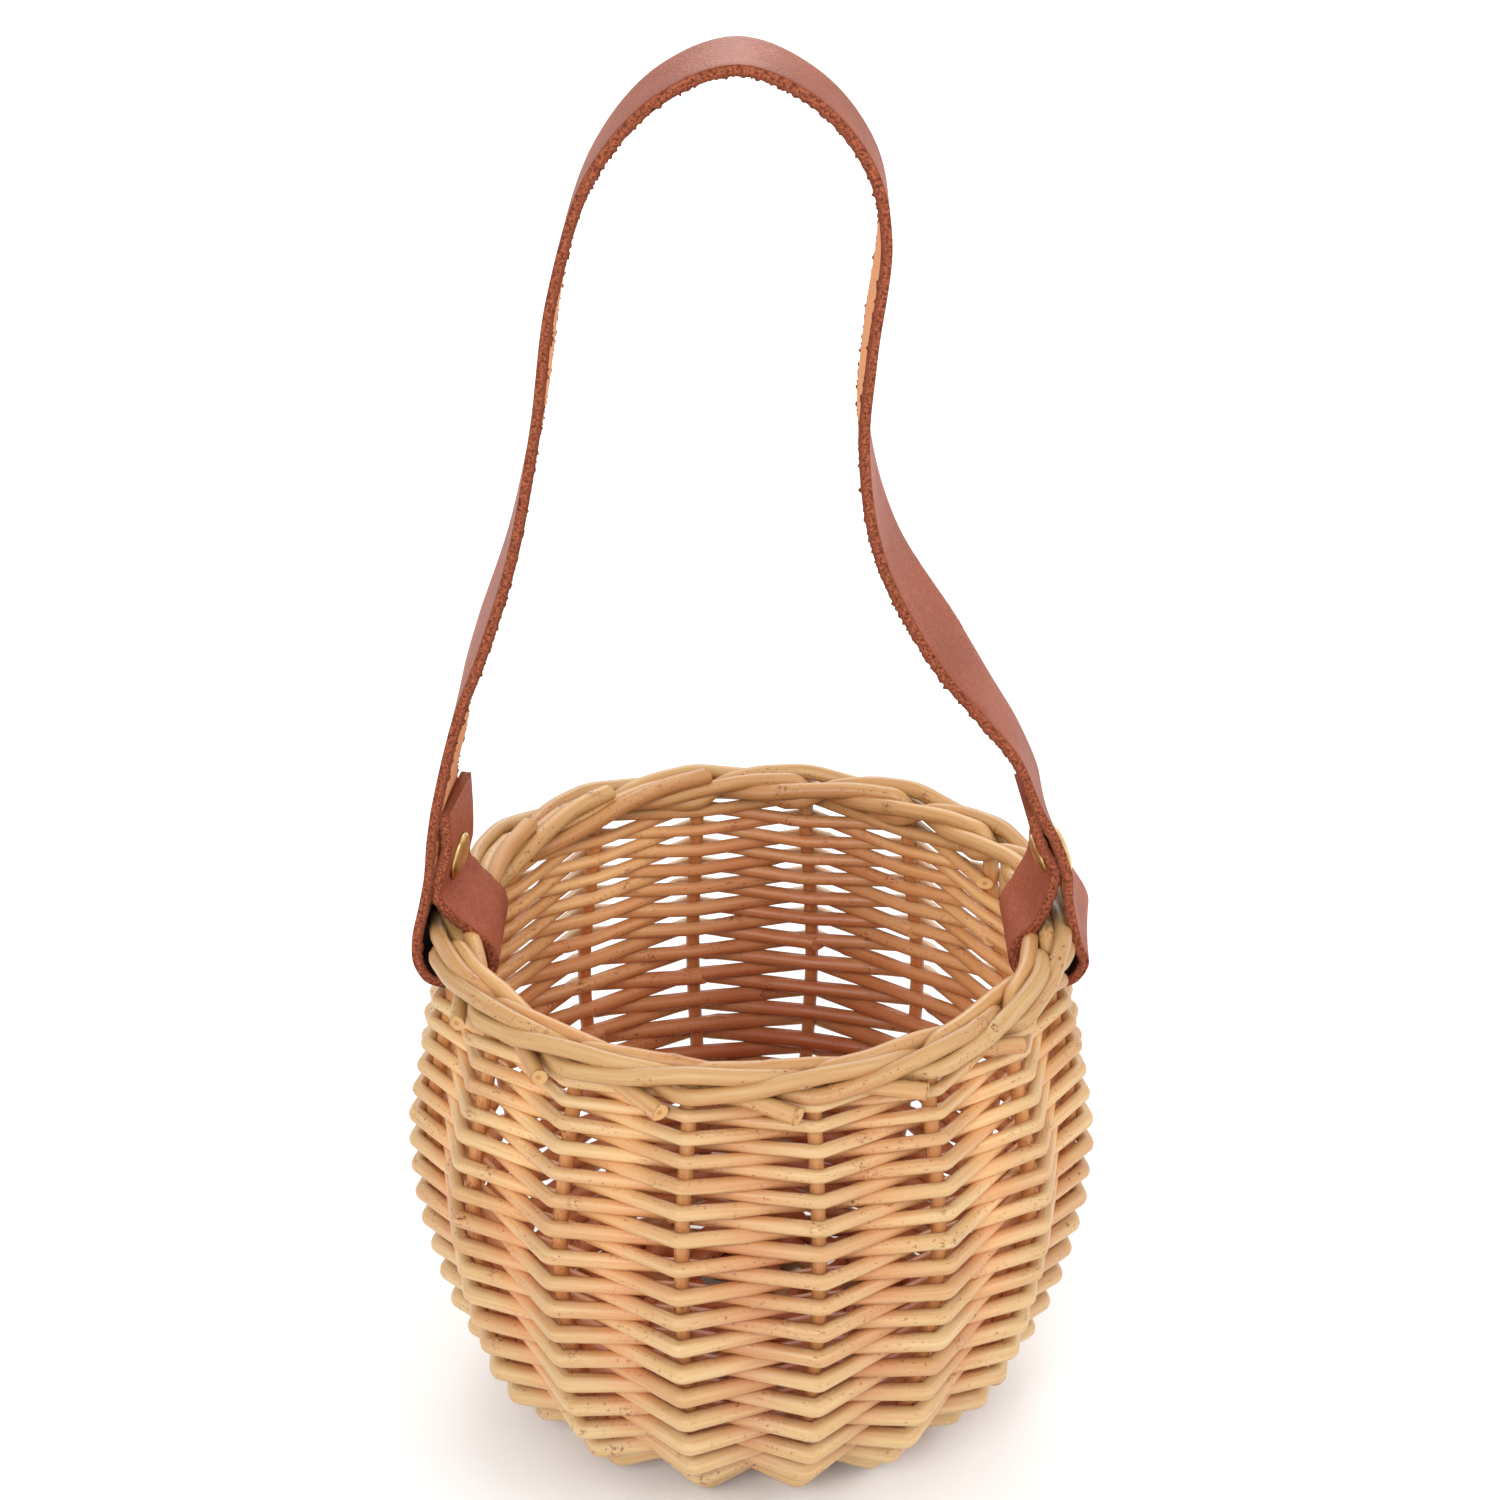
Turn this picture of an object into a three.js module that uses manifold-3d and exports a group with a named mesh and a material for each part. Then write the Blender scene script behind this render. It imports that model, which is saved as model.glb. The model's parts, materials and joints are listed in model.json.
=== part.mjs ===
// Small woven willow basket with a riveted leather strap handle.
// Millimetres, +Z up. The basket stands on z = 0 around the Z axis, its front is -Y,
// and the strap arches over it along X.
import * as THREE from "three";
import { mergeVertices } from "three/addons/utils/BufferGeometryUtils.js";
import Module from "manifold-3d";

const wasm = await Module();
wasm.setup();

// Fit between pieces that touch
const clearance = 0.3;

// Stakes: rods that cross in the base, stand in the wall and are laid down as the border.
// Each of the four arms of the cross has a rod in each of these lanes, counted in stakes.
const laneShares = [-1.5, -0.5, 0.5, 1.5];
const stakeDiameter = 2.8;
const tipDiameter = 2.4;
const borderDip = 0.8;

// Stake line, from the slath in the middle of the base to the top row of the weave
const bellyRadius = 61.3;
const weaveHeight = 91.7;
const footRadius = 37;
const baseDome = 3;
const slathRadius = 16.5;
const footCut = 0.5;

// Weavers: two chase each other round the stakes, thick in the base and thin under the border.
// Each is pieced from this many rods, which end behind a stake.
const weaverBaseDiameter = 3.8;
const weaverTopDiameter = 1.85;
const bindingDiameter = 2.2;
const rodsPerWeaver = 12;

// Leather strap, as wide as the space between two stakes allows
const strapPlay = 0.5;
const strapThickness = 2;
const strapBend = 3.2;
const loopLeanLeft = 5;
const loopLeanRight = 9.5;
const rivetRise = 10.4;
const flapLength = 12.7;
const kneeDrop = 4;
const archHeight = 131.2;
const handleLean = 4.3;

// Double-cap rivets
const rivetCapDiameter = 9;
const rivetCapHeight = 1.7;
const rivetPostDiameter = 3;

// Route of the free strap from right to left: [share of the loops' distance out, share of its height].
// The right leg sags inward, as the soft leather does when the handle is let go.
const archShares = [
  [0.69, 0.064], [0.57, 0.158], [0.4, 0.312], [0.32, 0.473], [0.327, 0.61], [0.36, 0.77], [0.318, 0.865],
  [0.177, 0.954], [-0.032, 1], [-0.24, 0.962], [-0.417, 0.861], [-0.53, 0.694], [-0.602, 0.503],
  [-0.69, 0.312], [-0.845, 0.076],
];

// Rod border, as one stake goes through it: [stakes passed, rod pitches outward, rod pitches up]
const borderShares = [
  [0, 0, 1.2],         // stands up through the border
  [0, 0, 3.1],
  [0.06, -0.05, 3.6],  // kneels to the right
  [0.5, -0.6, 3.9],
  [1, -1.1, 3.25],     // behind one stake
  [1.25, -0.65, 2.2],
  [1.5, 0.6, 1.6],     // comes out low
  [2, 1.15, 2.1],      // in front of one stake, climbing
  [2.5, 0.6, 2.8],
  [3, -1.1, 2.1],      // behind one more
  [3.25, -0.75, 1],
  [3.5, 0.35, 0.6],
  [3.85, 1.55, 0.55],  // and is cut off outside
];

// Worked-out sizes
const stakeCount = 4 * laneShares.length;
const stakeAngle = (2 * Math.PI) / stakeCount;
const borderPitch = tipDiameter + clearance;
const rodSides = 6;
const rivetSides = 14;
const layerStep = stakeDiameter + clearance;
const bindingTurns = 2;
const bindingPitch = bindingDiameter + 2 * clearance;

// Ring of a rod's corners at its first point, square to the rod
function firstRing(point, direction, radius) {
  const helper = Math.abs(direction.z) < 0.9 ? new THREE.Vector3(0, 0, 1) : new THREE.Vector3(1, 0, 0);
  const across = new THREE.Vector3().crossVectors(direction, helper).normalize();
  const over = new THREE.Vector3().crossVectors(direction, across);
  const ring = [];
  for (let k = 0; k < rodSides; k += 1) {
    const angle = ((k + 0.5) * 2 * Math.PI) / rodSides;
    const corner = point.clone();
    corner.addScaledVector(across, radius * Math.cos(angle));
    corner.addScaledVector(over, radius * Math.sin(angle));
    ring.push(corner);
  }
  return ring;
}

// Closed geometry through rings of equal length, each turning the same way round the path
function skin(rings) {
  const sides = rings[0].length;
  const last = (rings.length - 1) * sides;
  const index = [];
  for (let i = 0; i < rings.length - 1; i += 1) {
    for (let k = 0; k < sides; k += 1) {
      const a = i * sides + k;
      const b = i * sides + ((k + 1) % sides);
      index.push(a, b, b + sides, a, b + sides, a + sides);
    }
  }
  for (let k = 1; k < sides - 1; k += 1) {
    index.push(0, k + 1, k, last, last + k, last + k + 1);
  }
  const geometry = new THREE.BufferGeometry();
  const numbers = rings.flat().flatMap((corner) => corner.toArray());
  geometry.setAttribute("position", new THREE.Float32BufferAttribute(numbers, 3));
  geometry.setIndex(index);
  return geometry;
}

// Rings of a rod through points, mitred at each bend; diameters holds one value for each point
function rodRings(points, diameters) {
  const direction = (i) => points[i + 1].clone().sub(points[i]).normalize();
  let ring = firstRing(points[0], direction(0), diameters[0] / 2);
  const rings = [ring];
  for (let i = 1; i < points.length; i += 1) {
    const before = direction(i - 1);
    const after = i < points.length - 1 ? direction(i) : before;
    const mitre = before.clone().add(after).normalize();
    const grow = diameters[i] / diameters[i - 1];
    ring = ring.map((corner) => {
      const offset = corner.clone().sub(points[i - 1]);
      offset.addScaledVector(before, -offset.dot(before)).multiplyScalar(grow);
      offset.addScaledVector(before, -offset.dot(mitre) / before.dot(mitre));
      return offset.add(points[i]);
    });
    rings.push(ring);
  }
  return rings;
}

function rod(points, diameters) {
  return skin(rodRings(points, diameters));
}

// Solids for cutting
function solid(geometry) {
  const plain = geometry.clone();
  plain.deleteAttribute("normal");
  plain.deleteAttribute("uv");
  const merged = mergeVertices(plain, 1e-4);
  const vertProperties = new Float32Array(merged.attributes.position.array);
  const triVerts = new Uint32Array(merged.index.array);
  return new wasm.Manifold(new wasm.Mesh({ numProp: 3, vertProperties, triVerts }));
}

function cut(geometry, tools) {
  let left = solid(geometry);
  for (const tool of tools) {
    left = left.subtract(solid(tool));
  }
  const mesh = left.getMesh();
  const result = new THREE.BufferGeometry();
  result.setAttribute("position", new THREE.Float32BufferAttribute(mesh.vertProperties, 3));
  result.setIndex(new THREE.Uint32BufferAttribute(mesh.triVerts, 1));
  return result;
}

// How far a weaver swings out from the stake line and in from it, to pass a stake with a clearance
function swing(radius, outward, weaverDiameter) {
  const reach = (stakeDiameter + weaverDiameter) / 2 + clearance;
  const gap = 2 * radius * Math.sin(stakeAngle / 2);
  const slope = Math.asin((2 * reach) / gap);
  const turn = (stakeAngle / 2) * outward;
  return {
    out: reach / Math.cos(slope + turn),
    in: reach / Math.cos(Math.max(slope - turn, 0)),
    slope,
  };
}

// Stake line as radius and height: a low dome, the foot ring, then the barrel of the wall
const footSwing = swing(footRadius, 0, weaverBaseDiameter);
const footBelow = footSwing.out + weaverBaseDiameter / 2 / Math.cos(footSwing.slope);
const footHeight = footBelow - footCut;
const wallShares = [
  [0.736, 0.122], [0.821, 0.185], [0.887, 0.281], [0.952, 0.427],
  [0.995, 0.573], [1, 0.715], [0.965, 0.863], [0.92, 1],
];
const stakeLine = new THREE.CatmullRomCurve3([
  new THREE.Vector3(slathRadius, 0, footHeight + 0.85 * baseDome),
  new THREE.Vector3((slathRadius + footRadius) / 2, 0, footHeight + 0.5 * baseDome),
  new THREE.Vector3(footRadius, 0, footHeight),
  ...wallShares.map(([across, up]) => new THREE.Vector3(across * bellyRadius, 0, up * weaveHeight)),
], false, "centripetal");
stakeLine.arcLengthDivisions = 600;
const lineLength = stakeLine.getLength();
const borderRadius = wallShares.at(-1)[0] * bellyRadius;
const strapWidth = 2 * (borderRadius * Math.sin(stakeAngle / 2) - stakeDiameter / 2 - strapPlay);

// Level of the border: at each loop the strap slips in between its lowest rod and the row below,
// which is a row short there because the weavers end beside the loops
const topPitch = weaverTopDiameter + clearance;
const topRise = -swing(borderRadius, 1, weaverTopDiameter).out * stakeLine.getTangentAt(1).x;
const rowBelow = topRise + weaverTopDiameter / 2 - topPitch * (1 - 2 / stakeCount);
const lowestRod = borderShares.at(-1)[2] * borderPitch - tipDiameter / 2;
const borderBase = weaveHeight + Math.max(rowBelow + strapThickness + 2 * clearance - lowestRod, 0);

// Between the loops, at the front and the back, the border lies this much closer to the weave
function borderLevel(angle) {
  return borderBase - borderDip * Math.sin(angle) ** 2;
}

function around(radius, angle, height) {
  return new THREE.Vector3(radius * Math.cos(angle), radius * Math.sin(angle), height);
}

function shareOfLine(length) {
  return THREE.MathUtils.clamp(length / lineLength, 0, 1);
}

// Place on the basket at a length along the stake line, an angle and a distance outward from the line
function onWall(length, angle, outward) {
  const point = stakeLine.getPointAt(shareOfLine(length));
  const along = stakeLine.getTangentAt(shareOfLine(length));
  return around(point.x + outward * along.z, angle, point.z - outward * along.x);
}

// Half of a stake rod, from the middle of the base to its cut end in the border.
// lane counts rods from the middle of its group of four, and layer is up or down in the slath.
function stakeHalf(groupAngle, lane, layer) {
  const angle = groupAngle + lane * stakeAngle;
  const slathHalf = 2 * layerStep;
  const middle = new THREE.Vector3(slathHalf, lane * layerStep, 0);
  middle.applyAxisAngle(new THREE.Vector3(0, 0, 1), groupAngle);
  middle.z = footHeight + baseDome + layer * (layerStep / 2);
  const points = [middle];
  const diameters = [stakeDiameter];
  for (const place of stakeLine.getPoints(15)) {
    points.push(around(place.x, angle, place.z));
    diameters.push(stakeDiameter);
  }
  for (const [passed, outward, up] of borderShares) {
    const turn = angle + passed * stakeAngle;
    const radius = borderRadius + outward * borderPitch;
    points.push(around(radius, turn, borderLevel(turn) + up * borderPitch));
    diameters.push(tipDiameter);
  }
  return { points, diameters };
}

// One rod goes right across the base and makes two stakes on opposite sides
function stakeRod(groupAngle, lane, layer) {
  const near = stakeHalf(groupAngle, lane, layer);
  const far = stakeHalf(groupAngle + Math.PI, -lane, layer);
  return rod(
    [...far.points.reverse(), ...near.points],
    [...far.diameters.reverse(), ...near.diameters],
  );
}

// Rows of the weave: the pitch follows the weavers' diameter, which falls evenly along the stake line
const weaveStart = (bindingTurns + 0.3) * bindingPitch + weaverBaseDiameter + 2 * clearance;
const weaveLength = lineLength - weaveStart;
const firstPitch = weaverBaseDiameter + clearance;
const pitchChange = (weaverTopDiameter - weaverBaseDiameter) / weaveLength;
const rowTotal = Math.log(1 + (pitchChange * weaveLength) / firstPitch) / pitchChange;

function rowLength(row) {
  return (firstPitch / pitchChange) * (Math.exp(pitchChange * row) - 1);
}

// Weaver's passing of a stake: steps counts back from the end of the weaver at endStake
function passing(endStake, insideParity, steps) {
  const stake = endStake - steps;
  const row = rowTotal - (2 * steps) / stakeCount;
  const length = rowLength(row);
  const diameter = weaverBaseDiameter + pitchChange * length;
  const share = shareOfLine(weaveStart + length);
  const outward = stakeLine.getTangentAt(share).z;
  const reach = swing(stakeLine.getPointAt(share).x, outward, diameter);
  const inside = Math.abs(stake % 2) === insideParity;
  const angle = (stake + 0.5) * stakeAngle;
  const point = onWall(weaveStart + length, angle, inside ? -reach.in : reach.out);
  return { point, diameter, inside };
}

// One weaver as rods laid end to end, each new rod starting behind a stake
function weaverRods(endStake, insideParity) {
  const last = Math.floor((rowTotal * stakeCount) / 2);
  const passes = [];
  for (let steps = last; steps >= 0; steps -= 1) {
    passes.push(passing(endStake, insideParity, steps));
  }
  const splices = [0];
  for (let i = 1; i < rodsPerWeaver; i += 1) {
    const splice = Math.round((i * last) / rodsPerWeaver);
    splices.push(passes[splice].inside ? splice : splice + 1);
  }
  splices.push(last);
  const points = passes.map((pass) => pass.point);
  const rings = rodRings(points, passes.map((pass) => pass.diameter));
  const drawnBack = (end, next) => {
    const step = points[next].clone().sub(points[end]).setLength(clearance / 2);
    return rings[end].map((corner) => corner.clone().add(step));
  };
  return splices.slice(1).map((to, i) => {
    const from = splices[i];
    return skin([drawnBack(from, from + 1), ...rings.slice(from + 1, to), drawnBack(to, to - 1)]);
  });
}

// The lowest rows are pared flat where the basket stands
const ground = new THREE.BoxGeometry(4 * bellyRadius, 4 * bellyRadius, 2 * bellyRadius);
ground.translate(0, 0, -bellyRadius);

function pared(geometry) {
  geometry.computeBoundingBox();
  return geometry.boundingBox.min.z < 0 ? cut(geometry, [ground]) : geometry;
}

// Slath binding: twice round, over the two upper groups of four and under the two lower ones
function slathBinding() {
  const offset = (stakeDiameter + bindingDiameter) / 2 + clearance;
  const points = [];
  for (let group = 0; group < 4 * bindingTurns; group += 1) {
    const side = group % 2 === 0 ? -1 : 1;
    for (const degrees of [-40, -13, 13, 40]) {
      const turn = (group * 90 + degrees) / 360;
      points.push(onWall(bindingPitch * (turn + 0.3), turn * 2 * Math.PI, side * offset));
    }
  }
  return rod(points, points.map(() => bindingDiameter));
}

// Strap swept along stations of the XZ plane, each with a point, a direction and a half width.
// The grain side is on the right of the direction.
function strip(stations) {
  const rings = stations.map(({ point, direction, half }) => {
    const normal = new THREE.Vector2(direction.y, -direction.x).normalize();
    const outer = point.clone().addScaledVector(normal, strapThickness / 2);
    const inner = point.clone().addScaledVector(normal, -strapThickness / 2);
    return [[outer, -half], [outer, half], [inner, half], [inner, -half]].map(
      ([corner, y]) => new THREE.Vector3(corner.x, y, corner.y),
    );
  });
  return skin(rings);
}

// Corners of a route rounded to arcs of one radius
function rounded(corners, radius) {
  const steps = 5;
  const route = [corners[0]];
  for (let i = 1; i < corners.length - 1; i += 1) {
    const back = corners[i - 1].clone().sub(corners[i]).normalize();
    const ahead = corners[i + 1].clone().sub(corners[i]).normalize();
    const half = Math.acos(back.dot(ahead)) / 2;
    const sweep = (Math.PI - 2 * half) * Math.sign(ahead.cross(back));
    const middle = back.clone().add(ahead).normalize();
    const centre = corners[i].clone().addScaledVector(middle, radius / Math.sin(half));
    const start = corners[i].clone().addScaledVector(back, radius / Math.tan(half));
    for (let k = 0; k <= steps; k += 1) {
      route.push(start.clone().rotateAround(centre, (sweep * k) / steps));
    }
  }
  route.push(corners.at(-1));
  return route;
}

// Loop levels, from the border that the strap goes under
const borderOuts = borderShares.map((place) => place[1] * borderPitch);
const borderUps = borderShares.map((place) => place[2] * borderPitch);
const borderOutside = Math.max(...borderOuts) + tipDiameter / 2;
const borderInside = Math.min(...borderOuts) - tipDiameter / 2;
const borderTop = borderBase + Math.max(...borderUps) + tipDiameter / 2;
const leatherStep = clearance + strapThickness / 2;
const loopOuter = borderRadius + borderOutside + leatherStep;
const loopInner = (borderRadius + borderInside) * Math.cos(stakeAngle / 2) - leatherStep;
const loopUnder = borderBase + lowestRod - leatherStep;
const loopKnee = borderTop - kneeDrop;
const rivetHeight = borderTop + rivetRise;
const loopTop = rivetHeight + flapLength;
const hingeHeight = loopTop + 2 * clearance + strapWidth / 2;

// The riveted end of the strap on the side of +X: down outside, under the border, up inside as a flap
function loopSide(lean) {
  const knee = new THREE.Vector2(loopOuter, loopKnee);
  const top = new THREE.Vector2(loopOuter - lean, loopTop);
  const rise = top.clone().sub(knee).normalize();
  const outward = new THREE.Vector2(rise.y, -rise.x);
  const flapShift = outward.clone().multiplyScalar(-strapThickness - clearance);
  const onRise = (height) => knee.clone().addScaledVector(rise, (height - loopKnee) / rise.y);
  const corners = [
    top.clone().add(flapShift),
    onRise(borderTop + rivetRise / 2).add(flapShift),
    new THREE.Vector2(loopInner, borderTop - kneeDrop / 2),
    new THREE.Vector2(loopInner, loopUnder),
    new THREE.Vector2(loopOuter, loopUnder),
    knee,
    top,
  ];
  const rivet = onRise(rivetHeight).addScaledVector(flapShift, 0.5);
  return { corners, rise, outward, rivet };
}

// Piece made for the +X side and turned to its place there, or half round the Z axis for -X
function placeRivet(geometry, side, sign) {
  geometry.applyMatrix4(new THREE.Matrix4().makeBasis(
    new THREE.Vector3(side.rise.x, 0, side.rise.y),
    new THREE.Vector3(side.outward.x, 0, side.outward.y),
    new THREE.Vector3(0, 1, 0),
  ));
  geometry.translate(side.rivet.x, 0, side.rivet.y);
  return sign > 0 ? geometry : geometry.rotateZ(Math.PI);
}

function strapLoop(side, sign) {
  const route = rounded(side.corners, strapBend);
  const stations = route.map((point, i) => {
    const before = route[Math.max(i - 1, 0)];
    const after = route[Math.min(i + 1, route.length - 1)];
    return { point, direction: after.clone().sub(before), half: strapWidth / 2 };
  });
  const loop = strip(stations);
  const holeRadius = rivetPostDiameter / 2 + clearance;
  const hole = new THREE.CylinderGeometry(holeRadius, holeRadius, 6 * strapThickness, rivetSides);
  const turned = sign > 0 ? loop : loop.rotateZ(Math.PI);
  return cut(turned, [placeRivet(hole, side, sign)]);
}

// Double-cap rivet about its own axis: the post side is outside, the socket cap is inside on the flap
const rivetGrip = strapThickness + 1.5 * clearance;
const capRadius = rivetCapDiameter / 2;
const postRadius = rivetPostDiameter / 2;
const socketDepth = rivetCapHeight / 2;

function rivetPart(profile) {
  const outline = profile.map(([radius, along]) => new THREE.Vector2(radius, along));
  return new THREE.LatheGeometry(outline, rivetSides);
}

function capCurve(sign) {
  return [
    [0.95 * capRadius, sign * rivetGrip],
    [capRadius, sign * (rivetGrip + 0.18 * rivetCapHeight)],
    [0.75 * capRadius, sign * (rivetGrip + 0.75 * rivetCapHeight)],
    [0.4 * capRadius, sign * (rivetGrip + 0.95 * rivetCapHeight)],
    [0, sign * (rivetGrip + rivetCapHeight)],
  ];
}

function rivetPost() {
  const end = -rivetGrip - socketDepth + clearance;
  const shank = [[0, end], [postRadius, end], [postRadius, rivetGrip]];
  return rivetPart([...shank, ...capCurve(1)]);
}

function rivetCap() {
  const socket = postRadius + clearance;
  const floor = -rivetGrip - socketDepth;
  const socketWall = [[socket, -rivetGrip], [socket, floor], [0, floor]];
  return rivetPart([...capCurve(-1).reverse(), ...socketWall]);
}

// Free strap between the loops; its ends are rounded about the hinge line so that it can swing
function strapArch(left, right) {
  const half = strapWidth / 2;
  const hinge = ({ corners, rise }) => (
    corners.at(-1).clone().addScaledVector(rise, (hingeHeight - loopTop) / rise.y)
  );
  const start = (side) => hinge(side).addScaledVector(side.rise, -half);
  const mirror = (point) => new THREE.Vector2(-point.x, point.y);
  const places = [
    start(right),
    hinge(right),
    ...archShares.map(([out, up]) => new THREE.Vector2(out * loopOuter, hingeHeight + up * archHeight)),
    mirror(hinge(left)),
    mirror(start(left)),
  ];
  const route = new THREE.CatmullRomCurve3(
    places.map((place) => new THREE.Vector3(place.x, place.y, 0)), false, "centripetal",
  );
  route.arcLengthDivisions = 800;
  const length = route.getLength();
  const endAngles = [10, 25, 40, 60, 90];
  const endRuns = endAngles.map((degrees) => half * (1 - Math.cos(THREE.MathUtils.degToRad(degrees))));
  const bodySteps = 42;
  const runs = [...endRuns];
  for (let i = 1; i < bodySteps; i += 1) {
    runs.push(half + ((length - 2 * half) * i) / bodySteps);
  }
  runs.push(...endRuns.map((run) => length - run).reverse());
  const stations = runs.map((run) => {
    const place = route.getPointAt(run / length);
    const along = route.getTangentAt(run / length);
    const fromEnd = Math.min(run, length - run, half);
    return {
      point: new THREE.Vector2(place.x, place.y),
      direction: new THREE.Vector2(along.x, along.y),
      half: Math.sqrt(half * half - (half - fromEnd) ** 2),
    };
  });
  const geometry = strip(stations);
  geometry.translate(0, 0, -hingeHeight);
  geometry.rotateX(THREE.MathUtils.degToRad(handleLean));
  return geometry.translate(0, 0, hingeHeight);
}

// Materials, one for each sub-part
const willow = () => new THREE.MeshStandardMaterial({ color: 0xd3a05f, roughness: 0.5 });
const leather = () => new THREE.MeshStandardMaterial({ color: 0x7c4029, roughness: 0.65 });
const brass = () => new THREE.MeshStandardMaterial({ color: 0xa8843f, roughness: 0.35, metalness: 1 });

const basket = new THREE.Group();
basket.name = "woven_basket";

function addPiece(name, geometry, material) {
  geometry.computeVertexNormals();
  const mesh = new THREE.Mesh(geometry, material);
  mesh.name = name;
  basket.add(mesh);
}

// Basket: four rods along X over four along Y, then the binding and the two weavers
laneShares.forEach((lane, i) => addPiece(`stake_rod_x${i + 1}`, stakeRod(0, lane, 1), willow()));
laneShares.forEach((lane, i) => addPiece(`stake_rod_y${i + 1}`, stakeRod(Math.PI / 2, lane, -1), willow()));
addPiece("slath_binding", slathBinding(), willow());
const weaverA = weaverRods(stakeCount - 1, 1);
const weaverB = weaverRods(stakeCount / 2 - 1, 0);
weaverA.forEach((piece, i) => addPiece(`weaver_a${i + 1}`, pared(piece), willow()));
weaverB.forEach((piece, i) => addPiece(`weaver_b${i + 1}`, pared(piece), willow()));

// Handle: the two riveted loops and the free strap between them
const sides = { left: loopSide(loopLeanLeft), right: loopSide(loopLeanRight) };
for (const [name, side] of Object.entries(sides)) {
  const sign = name === "left" ? -1 : 1;
  addPiece(`strap_loop_${name}`, strapLoop(side, sign), leather());
  addPiece(`rivet_${name}_post`, placeRivet(rivetPost(), side, sign), brass());
  addPiece(`rivet_${name}_cap`, placeRivet(rivetCap(), side, sign), brass());
}
addPiece("strap_arch", strapArch(sides.left, sides.right), leather());

export default basket;
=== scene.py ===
# %% [markdown]
# # A small willow basket with a leather strap
#
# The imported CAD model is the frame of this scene: every piece here takes the place of its nodes, and
# the hinge of the handle comes from it. Each six-sided CAD rod is grown again as a round willow rod
# with knots and cut ends, the strap becomes one soft strip of leather, and the rivets become brass.

# %% Load the frame
import json
import math

import bpy
import numpy as np
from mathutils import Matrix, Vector


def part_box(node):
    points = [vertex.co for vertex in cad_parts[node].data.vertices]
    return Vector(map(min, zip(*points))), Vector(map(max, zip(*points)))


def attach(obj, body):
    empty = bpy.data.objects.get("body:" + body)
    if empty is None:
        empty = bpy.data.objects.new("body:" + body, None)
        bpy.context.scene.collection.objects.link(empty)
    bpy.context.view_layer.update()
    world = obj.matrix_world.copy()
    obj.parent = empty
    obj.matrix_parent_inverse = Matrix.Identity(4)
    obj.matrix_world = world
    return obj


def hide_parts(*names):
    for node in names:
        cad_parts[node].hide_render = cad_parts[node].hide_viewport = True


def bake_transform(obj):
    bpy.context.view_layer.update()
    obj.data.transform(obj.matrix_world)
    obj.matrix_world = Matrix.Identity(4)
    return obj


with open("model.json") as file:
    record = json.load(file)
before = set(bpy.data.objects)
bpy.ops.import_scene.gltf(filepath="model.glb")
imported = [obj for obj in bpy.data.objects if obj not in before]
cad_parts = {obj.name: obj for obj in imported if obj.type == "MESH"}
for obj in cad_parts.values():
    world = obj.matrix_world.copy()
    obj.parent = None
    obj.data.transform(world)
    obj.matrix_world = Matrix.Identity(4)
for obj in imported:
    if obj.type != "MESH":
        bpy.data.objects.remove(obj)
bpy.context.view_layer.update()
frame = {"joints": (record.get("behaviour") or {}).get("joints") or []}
mm = 0.001
rng = np.random.default_rng(7)

# %% [markdown]
# ## Camera
#
# The photograph looks down at the basket by about 26 degrees from 0.7 m away. A long lens keeps the
# rim's ellipse as flat as it is there. The camera looks at a point near the axis at half the height.


# %% Camera
def new_object(name, data):
    """An object that shows some data in the scene."""
    made = bpy.data.objects.new(name, data)
    bpy.context.scene.collection.objects.link(made)
    return made


look_at = Vector((-0.26, 0, 136.5)) * mm
camera_elevation = math.radians(25.89)
camera_distance = 700 * mm
camera_data = bpy.data.cameras.new("camera")
camera_data.sensor_width = 36
camera_data.lens = 91.5
camera = new_object("camera", camera_data)
to_camera = Vector((0, -math.cos(camera_elevation), math.sin(camera_elevation)))
camera.location = look_at + camera_distance * to_camera
camera.rotation_euler = to_camera.to_track_quat("Z", "Y").to_euler()
bpy.context.scene.camera = camera
print("camera at", [round(x, 3) for x in camera.location])

# %% [markdown]
# ## Node helper
#
# Materials and Geometry Nodes trees are both graphs of nodes. `Value` wraps one output socket, so a
# sum in Python adds Math nodes to the graph, and `Nodes.add` makes any other node in one line.


# %% Node helper
class Value:
    """One output socket of a graph, for use in Python sums."""

    def __init__(self, nodes, socket):
        self.nodes = nodes
        self.socket = socket

    def math(self, operation, *others):
        return self.nodes.math(operation, self, *others)

    def __getitem__(self, key):
        """Another output of the same node."""
        return Value(self.nodes, find(self.socket.node.outputs, key))

    def __add__(self, other):
        return self.math("ADD", other)

    def __sub__(self, other):
        return self.math("SUBTRACT", other)

    def __rsub__(self, other):
        return self.nodes.math("SUBTRACT", other, self)

    def __mul__(self, other):
        return self.math("MULTIPLY", other)

    def __truediv__(self, other):
        return self.math("DIVIDE", other)

    __radd__ = __add__
    __rmul__ = __mul__


def find(sockets, key):
    """A socket by its number, identifier or name."""
    if isinstance(key, int):
        return sockets[key]
    return next(s for s in sockets if key in (s.identifier, s.name))


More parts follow.
